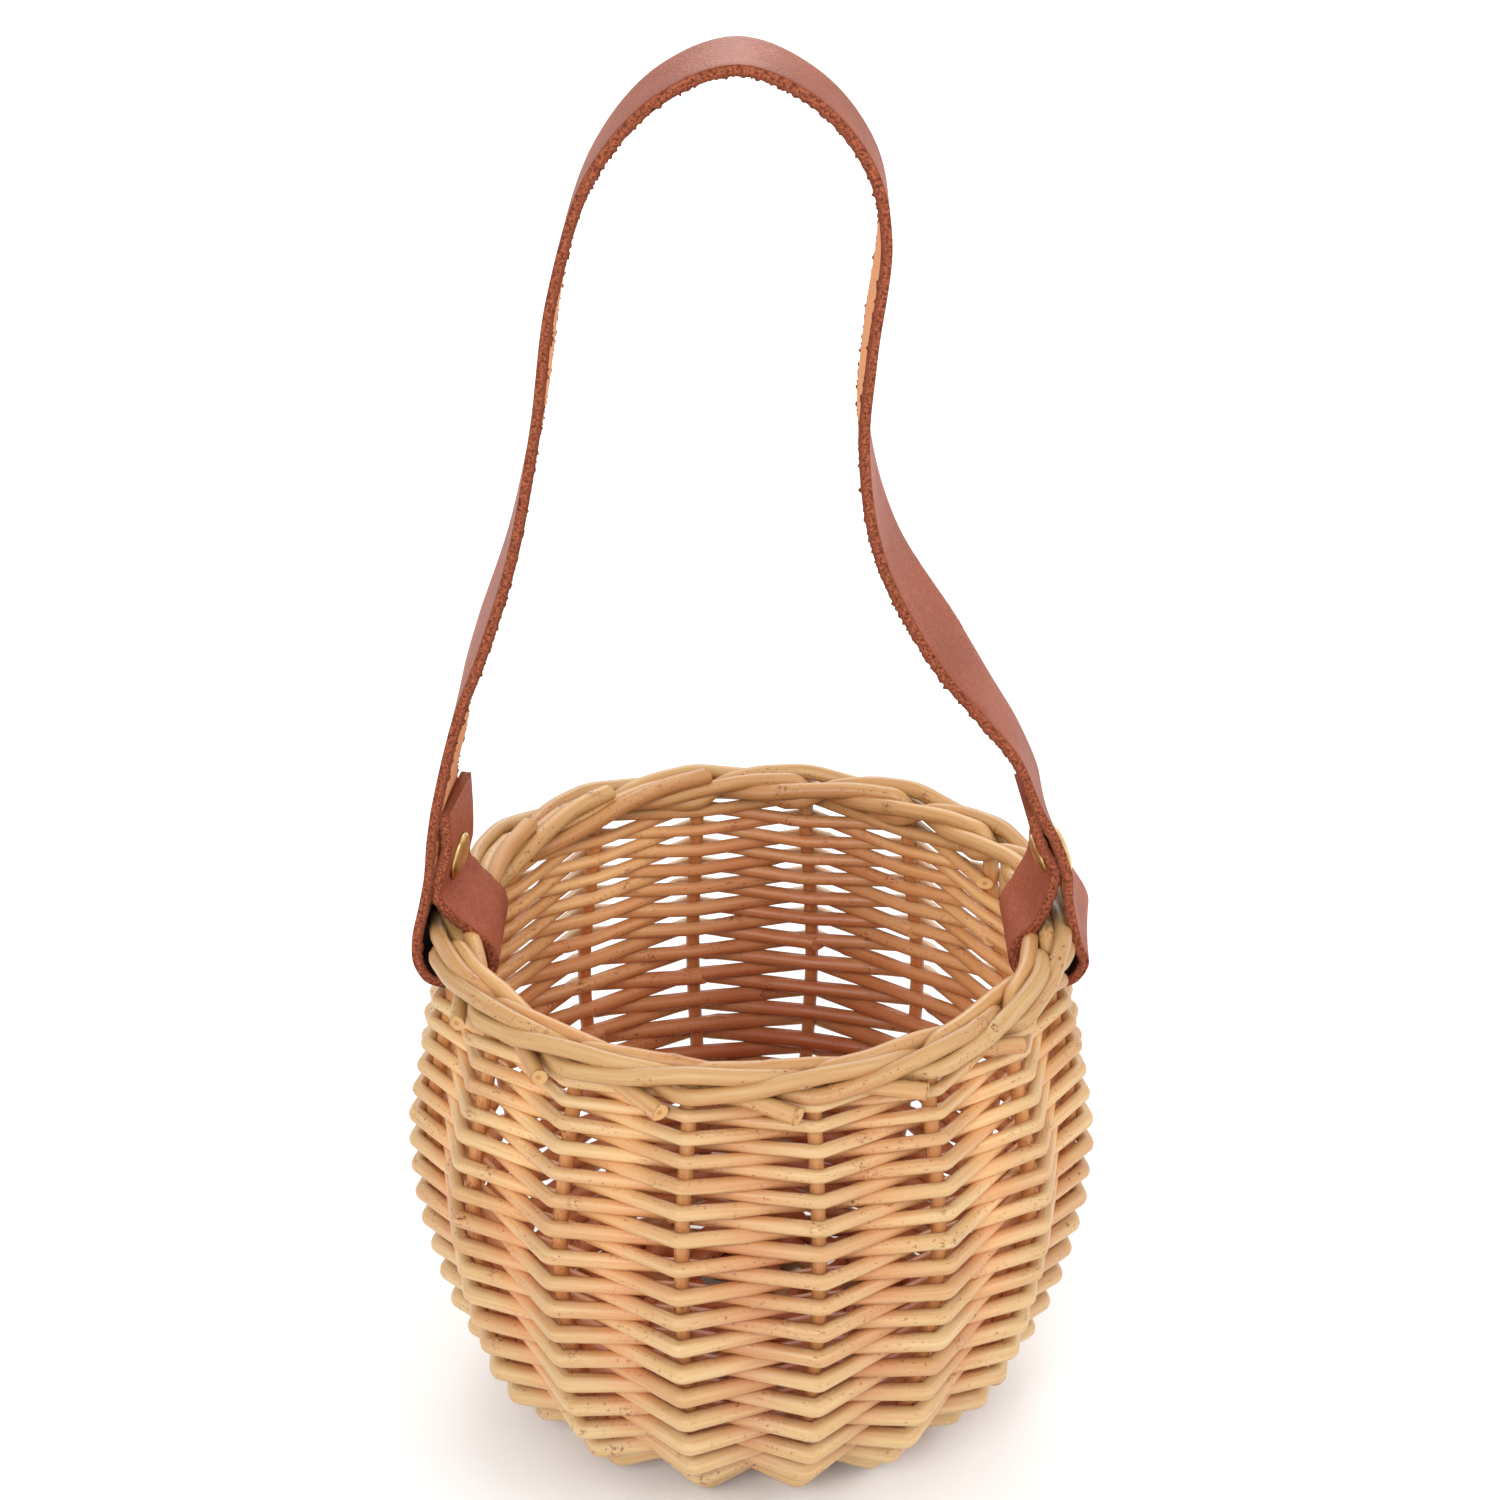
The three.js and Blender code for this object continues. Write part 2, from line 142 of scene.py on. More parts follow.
class Nodes:
    """Adds nodes to one graph."""

    def __init__(self, graph):
        self.graph = graph

    def plug(self, value, socket):
        """Links a Value to a socket; a plain value is set on it."""
        if isinstance(value, Value):
            self.graph.links.new(value.socket, socket)
        else:
            socket.default_value = value

    def add(self, kind, settings=None, sockets=None, output=0):
        """Makes a node. A list of values goes to one socket that takes several links."""
        node = self.graph.nodes.new(kind)
        for name, value in (settings or {}).items():
            setattr(node, name, value)
        for key, value in (sockets or {}).items():
            for one in value if isinstance(value, list) else [value]:
                self.plug(one, find(node.inputs, key))
        return Value(self, find(node.outputs, output)) if node.outputs else None

    def math(self, operation, *values):
        return self.add("ShaderNodeMath", {"operation": operation}, dict(enumerate(values)))

    def vector_math(self, operation, *values, output="Vector"):
        return self.add("ShaderNodeVectorMath", {"operation": operation}, dict(enumerate(values)), output)

    def scaled(self, vector, scale):
        return self.add("ShaderNodeVectorMath", {"operation": "SCALE"}, {0: vector, "Scale": scale})

    def noise(self, vector, scale, detail=2.0, roughness=0.5):
        sockets = {"Vector": vector, "Scale": scale, "Detail": detail, "Roughness": roughness}
        return self.add("ShaderNodeTexNoise", None, sockets)

    def rod_noise(self, place, along, across, detail=2.0, roughness=0.5):
        """Noise on a rod's own places, with one scale along the rod and another across it."""
        stretched = self.vector_math("MULTIPLY", place, (along, across, across))
        return self.noise(stretched, 1.0, detail, roughness)

    def smooth_step(self, value, low, high):
        return self.add("ShaderNodeMapRange", {"interpolation_type": "SMOOTHSTEP"},
                        {"Value": value, "From Min": low, "From Max": high})

    def mix_colour(self, factor, a, b, blend="MIX"):
        return self.add("ShaderNodeMix", {"data_type": "RGBA", "blend_type": blend},
                        {"Factor_Float": factor, "A_Color": a, "B_Color": b}, "Result_Color")

    def fade(self, value, low, high, a, b):
        """A colour that goes from a to b as a value rises from low to high."""
        return self.mix_colour(self.smooth_step(value, low, high), a, b)


def colour(red, green, blue):
    """A colour as a screen shows it, 0 to 255, as Blender's linear values."""
    shares = (red / 255, green / 255, blue / 255)
    return (*(s / 12.92 if s <= 0.04045 else ((s + 0.055) / 1.055) ** 2.4 for s in shares), 1.0)


def new_material(name):
    material = bpy.data.materials.new(name)
    material.use_nodes = True
    return material, Nodes(material.node_tree), material.node_tree.nodes["Principled BSDF"]


def feed(nodes, shader, **sockets):
    """Links or sets the shader's sockets; an underscore in a name stands for a space."""
    for name, value in sockets.items():
        nodes.plug(value, shader.inputs[name.replace("_", " ")])


print("helper ready")

# %% [markdown]
# ## Floor and light
#
# The product stands on a plain pale floor in soft studio light: a large lamp in front, a fainter one
# on the right, one behind for the top of the strap, and an even sky that keeps the shadows open. The
# lamps are wide disks, because small ones draw hard shadows between the rods.

# %% Floor and light
floor_half = 4.0
floor_corners = [(x * floor_half, y * floor_half, 0) for x, y in ((-1, -1), (1, -1), (1, 1), (-1, 1))]
floor_mesh = bpy.data.meshes.new("floor")
floor_mesh.from_pydata(floor_corners, [], [(0, 1, 2, 3)])
floor = new_object("floor", floor_mesh)
paper, nodes, shader = new_material("floor_paper")
feed(nodes, shader, Base_Color=(0.9, 0.9, 0.9, 1), Roughness=0.9)
floor_mesh.materials.append(paper)

world = bpy.data.worlds.new("studio")
world.use_nodes = True
sky = world.node_tree.nodes["Background"]
sky.inputs["Color"].default_value = (1, 1, 1, 1)
sky.inputs["Strength"].default_value = 1.0
bpy.context.scene.world = world
bpy.context.scene.view_settings.view_transform = "Standard"


def soft_lamp(name, place, aim, size, power):
    """A round lamp, in metres and watts, that is turned to what it lights."""
    data = bpy.data.lights.new(name, "AREA")
    data.shape = "DISK"
    data.size = size
    data.energy = power
    lamp = new_object(name, data)
    lamp.location = place
    lamp.rotation_euler = (Vector(place) - Vector(aim)).to_track_quat("Z", "Y").to_euler()


basket_middle = (0, 0, 0.08)
strap_top = (0, 0, 0.27)
soft_lamp("key_lamp", (-0.4, -1.2, 0.85), basket_middle, 0.7, 9)
soft_lamp("side_lamp", (1.0, -0.5, 0.9), basket_middle, 0.8, 5)
soft_lamp("back_lamp", (0, 1.1, 0.85), strap_top, 0.8, 6)
print("floor and lamps ready")

# %% [markdown]
# ## Willow
#
# Peeled willow is honey yellow with paler and redder streaks along the grain. Brown specks gather at
# the knots where twigs were cut, the waxy skin has a soft shine, and cut ends show a darker pith. A
# picture wouldn't follow the bends, so each rod stores where a point lies along it and round it, and
# noise on these places draws the grain.


# %% Willow
def attribute(nodes, name, output="Fac"):
    return nodes.add("ShaderNodeAttribute", {"attribute_name": name}, None, output)


def object_place(nodes):
    return nodes.add("ShaderNodeTexCoord", None, None, "Object")


willow, nodes, shader = new_material("willow")
place = attribute(nodes, "rod_place", "Vector")
cut_end = attribute(nodes, "cut_end")
grain = nodes.rod_noise(place, 70, 2.6, 4.0, 0.6)
fibre = nodes.rod_noise(place, 110, 14, 3.0)
specks = nodes.rod_noise(place, 1100, 2.2, 2.0, 0.7)
speck_group = nodes.rod_noise(place, 45, 0.8)
blush = nodes.rod_noise(place, 22, 0.9)

straw = colour(204, 174, 127)
honey = colour(194, 155, 104)
amber = colour(182, 124, 78)
speck_brown = colour(116, 54, 26)
cut_wood = colour(206, 172, 120)
pith_brown = colour(182, 138, 88)
skin_tone = nodes.fade(grain, 0.32, 0.68, honey, straw)
warm_share = nodes.smooth_step(blush * 0.7 + attribute(nodes, "rod_tone") * 0.3, 0.36, 0.74)
skin_tone = nodes.mix_colour(warm_share * 0.6, skin_tone, amber)
skin_tone = nodes.mix_colour(nodes.smooth_step(fibre, 0.56, 0.78) * 0.36, skin_tone, amber)
speck_share = nodes.smooth_step(specks, 0.58, 0.69) * nodes.smooth_step(speck_group, 0.45, 0.61)
knot_speck = attribute(nodes, "knot") * nodes.smooth_step(specks, 0.45, 0.62)
speck_share = (speck_share * 0.7 + knot_speck * 0.8).math("MINIMUM", 1.0)
skin_tone = nodes.mix_colour(speck_share, skin_tone, speck_brown)
skin_tone = nodes.mix_colour(cut_end, skin_tone, cut_wood)
skin_tone = nodes.mix_colour(attribute(nodes, "pith"), skin_tone, pith_brown)
print("willow skin has", len(willow.node_tree.nodes), "nodes")

# %% [markdown]
# ## Painted shade of the wall
#
# Inside the basket the rods are painted redder and darker, as shade and warm reflected light, most of all
# low down and in the middle of the back, and painted lighter towards the sides, as lamp light. The stakes
# are painted a warmer brown than the weavers, as shade between the rows, and the border is painted a
# shade deeper than the wall, to hold back the light from above. These painted shades multiply the skin's
# colour, by how deep in the wall, how high and how far aside a point lies.

# %% Painted shade of the wall
# Painted shade and light: the inside is painted darker and redder low down and in the middle, and lighter
# at the sides.
painted_low_shade = (0.86, 0.42, 0.36, 1)
painted_high_light = (1.1, 0.86, 0.78, 1)
painted_middle_shade = (0.84, 0.72, 0.66, 1)
painted_side_light = (1.35, 1.6, 1.6, 1)
# Painted shade: the border is darkened to hold back the light from above.
painted_rim_shade = (0.83, 0.75, 0.64, 1)
# Painted shade: the stakes are warmed and darkened as shade between the weaver rows.
painted_stake_shade = (0.96, 0.74, 0.6, 1)
inside_depths = (0.15, 0.85)
inside_heights = (25 * mm, 95 * mm)
rim_heights = (93 * mm, 99 * mm)
painted_shade_middle = 8 * mm
side_distances = (5 * mm, 43 * mm)
spot = nodes.add("ShaderNodeSeparateXYZ", None, {0: object_place(nodes)})
height = spot["Z"]
aside = (spot - painted_shade_middle).math("ABSOLUTE")
painted_height_shade = nodes.fade(height, *inside_heights, painted_low_shade, painted_high_light)
painted_aside_shade = nodes.fade(aside, *side_distances, painted_middle_shade, painted_side_light)
painted_inside_shade = nodes.mix_colour(1.0, painted_height_shade, painted_aside_shade, "MULTIPLY")
rim_shade_share = nodes.smooth_step(height, *rim_heights)
inside_shade_share = nodes.smooth_step(attribute(nodes, "depth"), *inside_depths) * (1 - rim_shade_share * 0.6)
stake_shade_share = attribute(nodes, "is_stake") * (1 - rim_shade_share)
# Multiplies the painted shade of the border, the stakes and the inside into the willow's colour.
for share, tint in ((rim_shade_share, painted_rim_shade), (stake_shade_share, painted_stake_shade), (inside_shade_share, painted_inside_shade)):
    skin_tone = nodes.mix_colour(share, skin_tone, tint, "MULTIPLY")
bump = nodes.add("ShaderNodeBump", None, {"Strength": 0.35, "Distance": 0.15 * mm,
                                          "Height": grain * 0.7 + fibre * 0.5}, "Normal")
roughness = 0.36 + fibre * 0.16 + speck_share * 0.2 + cut_end * 0.25
feed(nodes, shader, Base_Color=skin_tone, Roughness=roughness, Normal=bump, IOR=1.45, Coat_Weight=0.12,
     Coat_Roughness=0.25)
print("willow has", len(willow.node_tree.nodes), "nodes")

# %% [markdown]
# ## Lines
#
# Every rod follows a line. The wall's stakes follow one smooth outline from the base to the border;
# weavers run straight from stake to stake and bend sharply where they pass one. Sizes are in
# millimetres, as on the maker's bench, and go to metres when a mesh is made.


# %% Lines
def smooth_line(points, steps=24):
    """A smooth line through points, whose bends don't overshoot (centripetal Catmull-Rom)."""
    p = np.asarray(points, float)
    p = np.vstack([2 * p[0] - p[1], p, 2 * p[-1] - p[-2]])
    line = []
    for a, b, c, d in zip(p[:-3], p[1:-2], p[2:-1], p[3:]):
        pairs = ((a, b), (b, c), (c, d))
        before, run, after = (max(np.linalg.norm(x - y), 1e-6) ** 0.5 for x, y in pairs)
        start = ((b - a) / before - (c - a) / (before + run) + (c - b) / run) * run
        end = ((c - b) / run - (d - b) / (run + after) + (d - c) / after) * run
        for t in np.linspace(0, 1, steps, endpoint=False):
            line.append((2 * t**3 - 3 * t**2 + 1) * b + (t**3 - 2 * t**2 + t) * start
                        + (3 * t**2 - 2 * t**3) * c + (t**3 - t**2) * end)
    line.append(p[-2])
    return np.array(line)


def lengths_along(line):
    return np.concatenate([[0], np.cumsum(np.linalg.norm(np.diff(line, axis=0), axis=1))])


def place_on(line, lengths, length):
    """Point of a line at a length from its start."""
    return np.array([np.interp(length, lengths, line[:, k]) for k in range(line.shape[1])])


def run_of(line, lengths, length, step):
    """How a line runs at a length, from a step before it to a step after it."""
    ahead = place_on(line, lengths, min(length + step, lengths[-1]))
    return ahead - place_on(line, lengths, max(length - step, 0))


def bent(points, diameters, reach, steps=7, most=0.45):
    """A line with its corners bent round, over reach or at most a share of the straights beside them."""
    points = [np.asarray(p, float) for p in points]
    line = [points[0]]
    thick = [diameters[0]]
    for before, corner, after, d in zip(points, points[1:], points[2:], diameters[1:]):
        back = before - corner
        ahead = after - corner
        size = min(reach, most * np.linalg.norm(back), most * np.linalg.norm(ahead))
        start = corner + back / np.linalg.norm(back) * size
        end = corner + ahead / np.linalg.norm(ahead) * size
        for t in np.linspace(0, 1, steps):
            line.append((1 - t) ** 2 * start + 2 * t * (1 - t) * corner + t**2 * end)
            thick.append(d)
    line.append(points[-1])
    thick.append(diameters[-1])
    return np.array(line), np.array(thick)


def around(radius, angle, height):
    return np.array([radius * math.cos(angle), radius * math.sin(angle), height])


print("lines ready")

# %% [markdown]
# ## Outline of the basket
#
# These are the driving sizes of the CAD model. The stakes cross in the base, turn up at the foot and
# follow a barrel outline, given as shares of the belly's radius and of the height of the weave. A
# weaver swings outside one stake and inside the next.

# %% Outline of the basket
clearance = 0.3
stake_count = 16
stake_diameter = 2.8
tip_diameter = 2.4
belly_radius = 61.3
weave_height = 91.7
foot_radius = 37
base_dome = 3
slath_radius = 16.5
foot_cut = 0.5
weaver_base_diameter = 3.8
weaver_top_diameter = 1.85
binding_diameter = 2.2
binding_turns = 2
rods_per_weaver = 12
wall_shares = [(0.736, 0.122), (0.821, 0.185), (0.887, 0.281), (0.952, 0.427),
               (0.995, 0.573), (1, 0.715), (0.965, 0.863), (0.92, 1)]
stake_angle = 2 * math.pi / stake_count
slope_step = 0.2


def swing(radius, outward, weaver_diameter):
    """How far a weaver swings out from the stake line and in from it, and its slope to the wall."""
    reach = (stake_diameter + weaver_diameter) / 2 + clearance
    slope = math.asin(2 * reach / (2 * radius * math.sin(stake_angle / 2)))
    turn = stake_angle / 2 * outward
    return reach / math.cos(slope + turn), reach / math.cos(max(slope - turn, 0)), slope


foot_out, _, foot_slope = swing(foot_radius, 0, weaver_base_diameter)
foot_height = foot_out + weaver_base_diameter / 2 / math.cos(foot_slope) - foot_cut
stake_line = smooth_line([(slath_radius, foot_height + 0.85 * base_dome),
                          ((slath_radius + foot_radius) / 2, foot_height + 0.5 * base_dome),
                          (foot_radius, foot_height)]
                         + [(a * belly_radius, up * weave_height) for a, up in wall_shares])
stake_lengths = lengths_along(stake_line)
line_length = stake_lengths[-1]
border_radius = wall_shares[-1][0] * belly_radius


def wall_place(length):
    """Radius and height of the stake line at a length, and its direction; past its end it goes up."""
    inside = min(max(length, 0), line_length)
    here = place_on(stake_line, stake_lengths, inside)
    run = run_of(stake_line, stake_lengths, inside, slope_step)
    return here + (0, max(length - line_length, 0)), run / np.linalg.norm(run)


def on_wall(length, angle, outward):
    here, along = wall_place(length)
    return around(here[0] + outward * along[1], angle, here[1] - outward * along[0])


print("stake line:", round(line_length, 1), "mm, foot at", round(foot_height, 2), "mm")

# %% [markdown]
# ## The rod tree
#
# A rod could be a curve with a bevel, but it would have no knots and no cut faces. So one Geometry
# Nodes tree grows every rod. Its input is a thin wire along the rod's line, with the radius on each
# point. The tree sweeps a ring along the wire, swells it a little at random, raises small knots, cuts
# the ends on a slant and marks the cut faces and the pith for the material.


# %% Tree helpers
def new_tree(name, inputs):
    """A Geometry Nodes tree with named inputs; returns its nodes, its inputs and their identifiers."""
    graph = bpy.data.node_groups.new(name, "GeometryNodeTree")
    for side in ("INPUT", "OUTPUT"):
        graph.interface.new_socket("Geometry", in_out=side, socket_type="NodeSocketGeometry")
    identifiers = {}
    for label, kind in inputs.items():
        socket = graph.interface.new_socket(label, in_out="INPUT", socket_type="NodeSocket" + kind)
        identifiers[label] = socket.identifier
    tree = Nodes(graph)
    return tree, tree.add("NodeGroupInput"), identifiers


def close_tree(tree, geometry, material):
    """Ends a tree as the export needs it: real geometry with a material."""
    real = tree.add("GeometryNodeRealizeInstances", None, {"Geometry": geometry})
    painted = tree.add("GeometryNodeSetMaterial", None, {"Geometry": real, "Material": material})
    tree.add("NodeGroupOutput", None, {0: painted})


def named(tree, name, kind="FLOAT"):
    return tree.add("GeometryNodeInputNamedAttribute", {"data_type": kind}, {"Name": name})


def store(tree, geometry, name, value, kind="FLOAT", domain="POINT"):
    return tree.add("GeometryNodeStoreNamedAttribute", {"data_type": kind, "domain": domain},
                    {"Geometry": geometry, "Name": name, "Value": value})


print("tree helpers ready")

# %% Sweep of the rod tree
tree, entry, rod_inputs = new_tree("willow_rod", {
    "Step": "Float", "Sides": "Int", "Swelling": "Float", "Knot Spacing": "Float",
    "Knot Height": "Float", "Cut Slope": "Float", "Seed": "Float", "Skin": "Material"})
end_share = 0.0001
wire = tree.add("GeometryNodeMeshToCurve", None, {"Mesh": entry})
wire = tree.add("GeometryNodeResampleCurve", {"mode": "LENGTH"},
                {"Curve": wire, "Length": entry["Step"]})
spline = tree.add("GeometryNodeSplineParameter")
is_tip = spline.math("GREATER_THAN", 1 - end_share) - spline.math("LESS_THAN", end_share)
position = tree.add("GeometryNodeInputPosition")
wire = store(tree, wire, "along", spline["Length"])
wire = store(tree, wire, "tip", is_tip)
wire = store(tree, wire, "centre", position, "FLOAT_VECTOR")
wire = store(tree, wire, "run", tree.add("GeometryNodeInputTangent"), "FLOAT_VECTOR")
ring = tree.add("GeometryNodeCurvePrimitiveCircle", None,
                {"Resolution": entry["Sides"], "Radius": 1.0})
ring = store(tree, ring, "ring", position, "FLOAT_VECTOR")
radius = named(tree, "rod_radius")
rod = tree.add("GeometryNodeCurveToMesh", None,
               {"Curve": wire, "Profile Curve": ring, "Scale": radius, "Fill Caps": True})
along = named(tree, "along")
on_ring = tree.add("ShaderNodeSeparateXYZ", None, {0: named(tree, "ring", "FLOAT_VECTOR")})
seed = entry["Seed"]
own_place = tree.add("ShaderNodeCombineXYZ", None, {0: along + seed, 1: on_ring, 2: on_ring["Y"]})
rod = store(tree, rod, "rod_place", own_place, "FLOAT_VECTOR")
print("sweep has", len(tree.graph.nodes), "nodes")

# %% [markdown]
# The line is divided into stretches of the knot spacing. Each stretch has one knot, at a random place
# along it and round it, that falls off on all sides. Then the swelling, the knots and the slant of the
# cut move the points, and the end faces are inset to mark the pith.

# %% Knots and cut ends of the rod tree
seed_spread = 37.0
knot_margin = 0.2
knot_length = 1.3 * mm
knot_narrowness = 2.2
pith_share = 0.32
corners_over_four = 4.5
knot_spacing = entry["Knot Spacing"]
cell = along / knot_spacing + seed * seed_spread
cell_number = cell.math("FLOOR")


def chance(shift):
    """A random share for each stretch of the line."""
    return tree.add("ShaderNodeTexWhiteNoise", {"noise_dimensions": "1D"}, {"W": cell_number + shift})


knot_along = (cell - cell_number - knot_margin - chance(0.5) * (1 - 2 * knot_margin)) * knot_spacing
knot_turn = chance(0.25) * (2 * math.pi)
facing = on_ring * knot_turn.math("COSINE") + on_ring["Y"] * knot_turn.math("SINE")
knot_fall = (knot_along / knot_length).math("POWER", 2.0) + (1 - facing) * knot_narrowness
rod = store(tree, rod, "knot", (0 - knot_fall).math("EXPONENT"))

centre = named(tree, "centre", "FLOAT_VECTOR")
from_centre = tree.vector_math("SUBTRACT", position, centre)
outward = tree.vector_math("NORMALIZE", from_centre)
rod_place = named(tree, "rod_place", "FLOAT_VECTOR")
swell = tree.rod_noise(rod_place, 75, 0.5) - 0.5
ripple = tree.rod_noise(rod_place, 160, 2.4) - 0.5
raise_by = (radius * entry["Swelling"] * (swell * 2.0 + ripple * 0.6)
            + named(tree, "knot") * entry["Knot Height"])
radial = tree.vector_math("NORMALIZE", tree.vector_math("MULTIPLY", centre, (1, 1, 0)))
slant = tree.vector_math("DOT_PRODUCT", from_centre, radial, output="Value") + radius
cut_shift = slant * entry["Cut Slope"] * named(tree, "tip")
offset = tree.vector_math("ADD", tree.scaled(outward, raise_by),
                          tree.scaled(named(tree, "run", "FLOAT_VECTOR"), cut_shift))
rod = tree.add("GeometryNodeSetPosition", None, {"Geometry": rod, "Offset": offset})
is_cap = tree.add("GeometryNodeInputMeshFaceNeighbors").math("GREATER_THAN", corners_over_four)
capped = tree.add("GeometryNodeExtrudeMesh", {"mode": "FACES"},
                  {"Mesh": rod, "Selection": is_cap, "Offset Scale": 0.0, "Individual": False})
rod = tree.add("GeometryNodeScaleElements", None,
               {"Geometry": capped, "Selection": capped["Top"], "Scale": pith_share})
rod = store(tree, rod, "pith", capped["Top"] * 1.0, domain="FACE")
rod = store(tree, rod, "cut_end", capped["Top"] + capped["Side"], domain="FACE")
flat_end = named(tree, "cut_end").math("GREATER_THAN", 0.5)
rod = tree.add("GeometryNodeSetShadeSmooth", None, {"Geometry": rod, "Shade Smooth": True})
rod = tree.add("GeometryNodeSetShadeSmooth", None,
               {"Geometry": rod, "Selection": flat_end, "Shade Smooth": False})
close_tree(tree, rod, entry["Skin"])
rod_graph = tree.graph
print("rod tree has", len(rod_graph.nodes), "nodes")

# %% [markdown]
# ## Growing a rod
#
# The tree runs as a modifier on the wire, and its result is kept as a plain mesh, whose points can be
# changed. A rod that stands on the floor is pared flat there, as the maker trims the foot. Each point
# then stores how deep in the wall it lies, and each face whether it belongs to a stake.

# %% Growing a rod
border_room = 16
wall_line = np.vstack([stake_line[::2], stake_line[-1] + [(0, up) for up in range(1, border_room)]])
wall_run = np.gradient(wall_line, axis=0)
wall_run /= np.linalg.norm(wall_run, axis=1)[:, None]
wall_thickness = 2 * (stake_diameter / 2 + weaver_base_diameter)
tree_marks = ("along", "tip", "centre", "run", "ring", "rod_radius")


def mark(mesh, name, values, kind="FLOAT", domain="POINT"):
    """Stores values on a mesh under a name that materials and trees can read."""
    field = "vector" if kind == "FLOAT_VECTOR" else "value"
    mesh.attributes.new(name, kind, domain).data.foreach_set(field, np.asarray(values, float).ravel())


def wire_object(name, rods):
    """Edges along each rod's line, in metres, with the rod's radius and tone on their points."""
    points = np.vstack([line for line, _ in rods]) * mm
    firsts = np.cumsum([0] + [len(line) for line, _ in rods])
    edges = [(i, i + 1) for a, b in zip(firsts, firsts[1:]) for i in range(a, b - 1)]
    mesh = bpy.data.meshes.new(name)
    mesh.from_pydata([tuple(p) for p in points], edges, [])
    mark(mesh, "rod_radius", np.concatenate([thick for _, thick in rods]) * mm / 2)
    mark(mesh, "rod_tone", np.concatenate([np.full(len(line), rng.uniform(0, 1)) for line, _ in rods]))
    return new_object(name, mesh)


def grow(piece, graph, identifiers, values, drop):
    """Runs a tree on a piece and keeps the result as its plain mesh, without the tree's own marks."""
    modifier = piece.modifiers.new("grow", "NODES")
    modifier.node_group = graph
    for label, value in values.items():
        modifier[identifiers[label]] = value
    depsgraph = bpy.context.evaluated_depsgraph_get()
    mesh = bpy.data.meshes.new_from_object(piece.evaluated_get(depsgraph))
    piece.modifiers.remove(modifier)
    piece.data = mesh
    for name in drop:
        if name in mesh.attributes:
            mesh.attributes.remove(mesh.attributes[name])


def stand_flat(mesh):
    """Flattens a rod where it stands on the floor; returns its points."""
    points = np.empty((len(mesh.vertices), 3), np.float32)
    mesh.vertices.foreach_get("co", points.ravel())
    points[:, 2] = points[:, 2].clip(0)
    mesh.vertices.foreach_set("co", points.ravel())
    return points


def wall_depth(points):
    """How deep in the wall points lie: 0 on the outside, 1 on the inside."""
    x, y, z = points.T / mm
    radius = np.hypot(x, y)
    far = (radius[:, None] - wall_line[:, 0]) ** 2 + (z[:, None] - wall_line[:, 1]) ** 2
    near = far.argmin(axis=1)
    outward = ((radius - wall_line[near, 0]) * wall_run[near, 1]
               - (z - wall_line[near, 1]) * wall_run[near, 0])
    return np.clip(0.5 - outward / wall_thickness, 0, 1)


def willow_rod(node, rods, cut_slope):
    """Round willow that stands for one CAD rod; returns its faces."""
    piece = wire_object(node + "_willow", rods)
    values = {"Step": 0.6 * mm, "Sides": 12, "Swelling": 0.1, "Knot Spacing": 34 * mm,
              "Knot Height": 0.24 * mm, "Cut Slope": cut_slope, "Seed": float(rng.uniform(0, 40)),
              "Skin": willow}
    grow(piece, rod_graph, rod_inputs, values, tree_marks)
    face_count = len(piece.data.polygons)
    # The depth and stake marks place the painted shade in the willow material.
    mark(piece.data, "depth", wall_depth(stand_flat(piece.data)))
    mark(piece.data, "is_stake", np.full(face_count, node.startswith("stake")), domain="FACE")
    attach(piece, "basket")
    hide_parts(node)
    return face_count


print("wall is", round(wall_thickness, 1), "mm thick")

# %% [markdown]
# ## The maker's hand
#
# A real basket is never even. Stakes lean to one side, whole rows rise and fall together as they are
# beaten down, the rim is higher at the back, and the climbing weave is packed level under the border,
# except where the strap passes. Slow waves do this better than noise, since neighbours have to agree.

# %% The maker's hand
binding_pitch = binding_diameter + 2 * clearance
binding_start = 0.3
weave_start = (binding_turns + binding_start) * binding_pitch + weaver_base_diameter + 2 * clearance
lean_spread = 0.4
lean_sizes = rng.normal(0, lean_spread, (stake_count, 2))
top_lift = 0.2
rim_tilt = 1.3
top_pitch = weaver_top_diameter + clearance
strap_bay = (0.26, 0.48)
drift_waves = [(0.45, 2, 0.8, 19), (0.3, 3, -1.3, 13)]
drift_from = 25
drift_until = 10
packed_zone = 35
tilted_zone = 50


def smooth(value, low, high):
    share = min(max((value - low) / (high - low), 0), 1)
    return share * share * (3 - 2 * share)


def near_top(length, zone):
    """0 below a zone at the top of the weave, rising to 1 at its end."""
    return smooth(length, line_length - zone, line_length)


def near_strap(angle):
    """1 in the two bays where the strap passes under the border, 0 away from them."""
    return 1 - smooth(abs(math.sin(angle)), *strap_bay)


def stake_lean(stake, length):
    """How far a stake stands beside its even place, in radians."""
    share = length / line_length
    aside = lean_sizes[stake % stake_count] @ (math.sin(math.pi * share), math.sin(2 * math.pi * share))
    return aside / wall_place(length)[0][0]


def row_drift(stake, length, inside):
    """How far a row lies above its even place."""
    angle = (stake + 0.5) * stake_angle
    free = smooth(length, weave_start, weave_start + drift_from) * (1 - near_top(length, drift_until))
    wave = sum(size * math.sin(count * angle + start + length / climb)
               for size, count, start, climb in drift_waves)
    half_turn = stake_count // 2
    levelled = top_pitch * ((half_turn - 1 - stake) % half_turn) / half_turn
    packed = (top_lift * (1 + inside) + levelled) * (1 - near_strap(angle))
    tilted = rim_tilt * math.sin(angle)
    return free * wave + packed * near_top(length, packed_zone) + tilted * near_top(length, tilted_zone)


print("stakes lean up to", round(float(abs(lean_sizes).max()), 2), "mm")

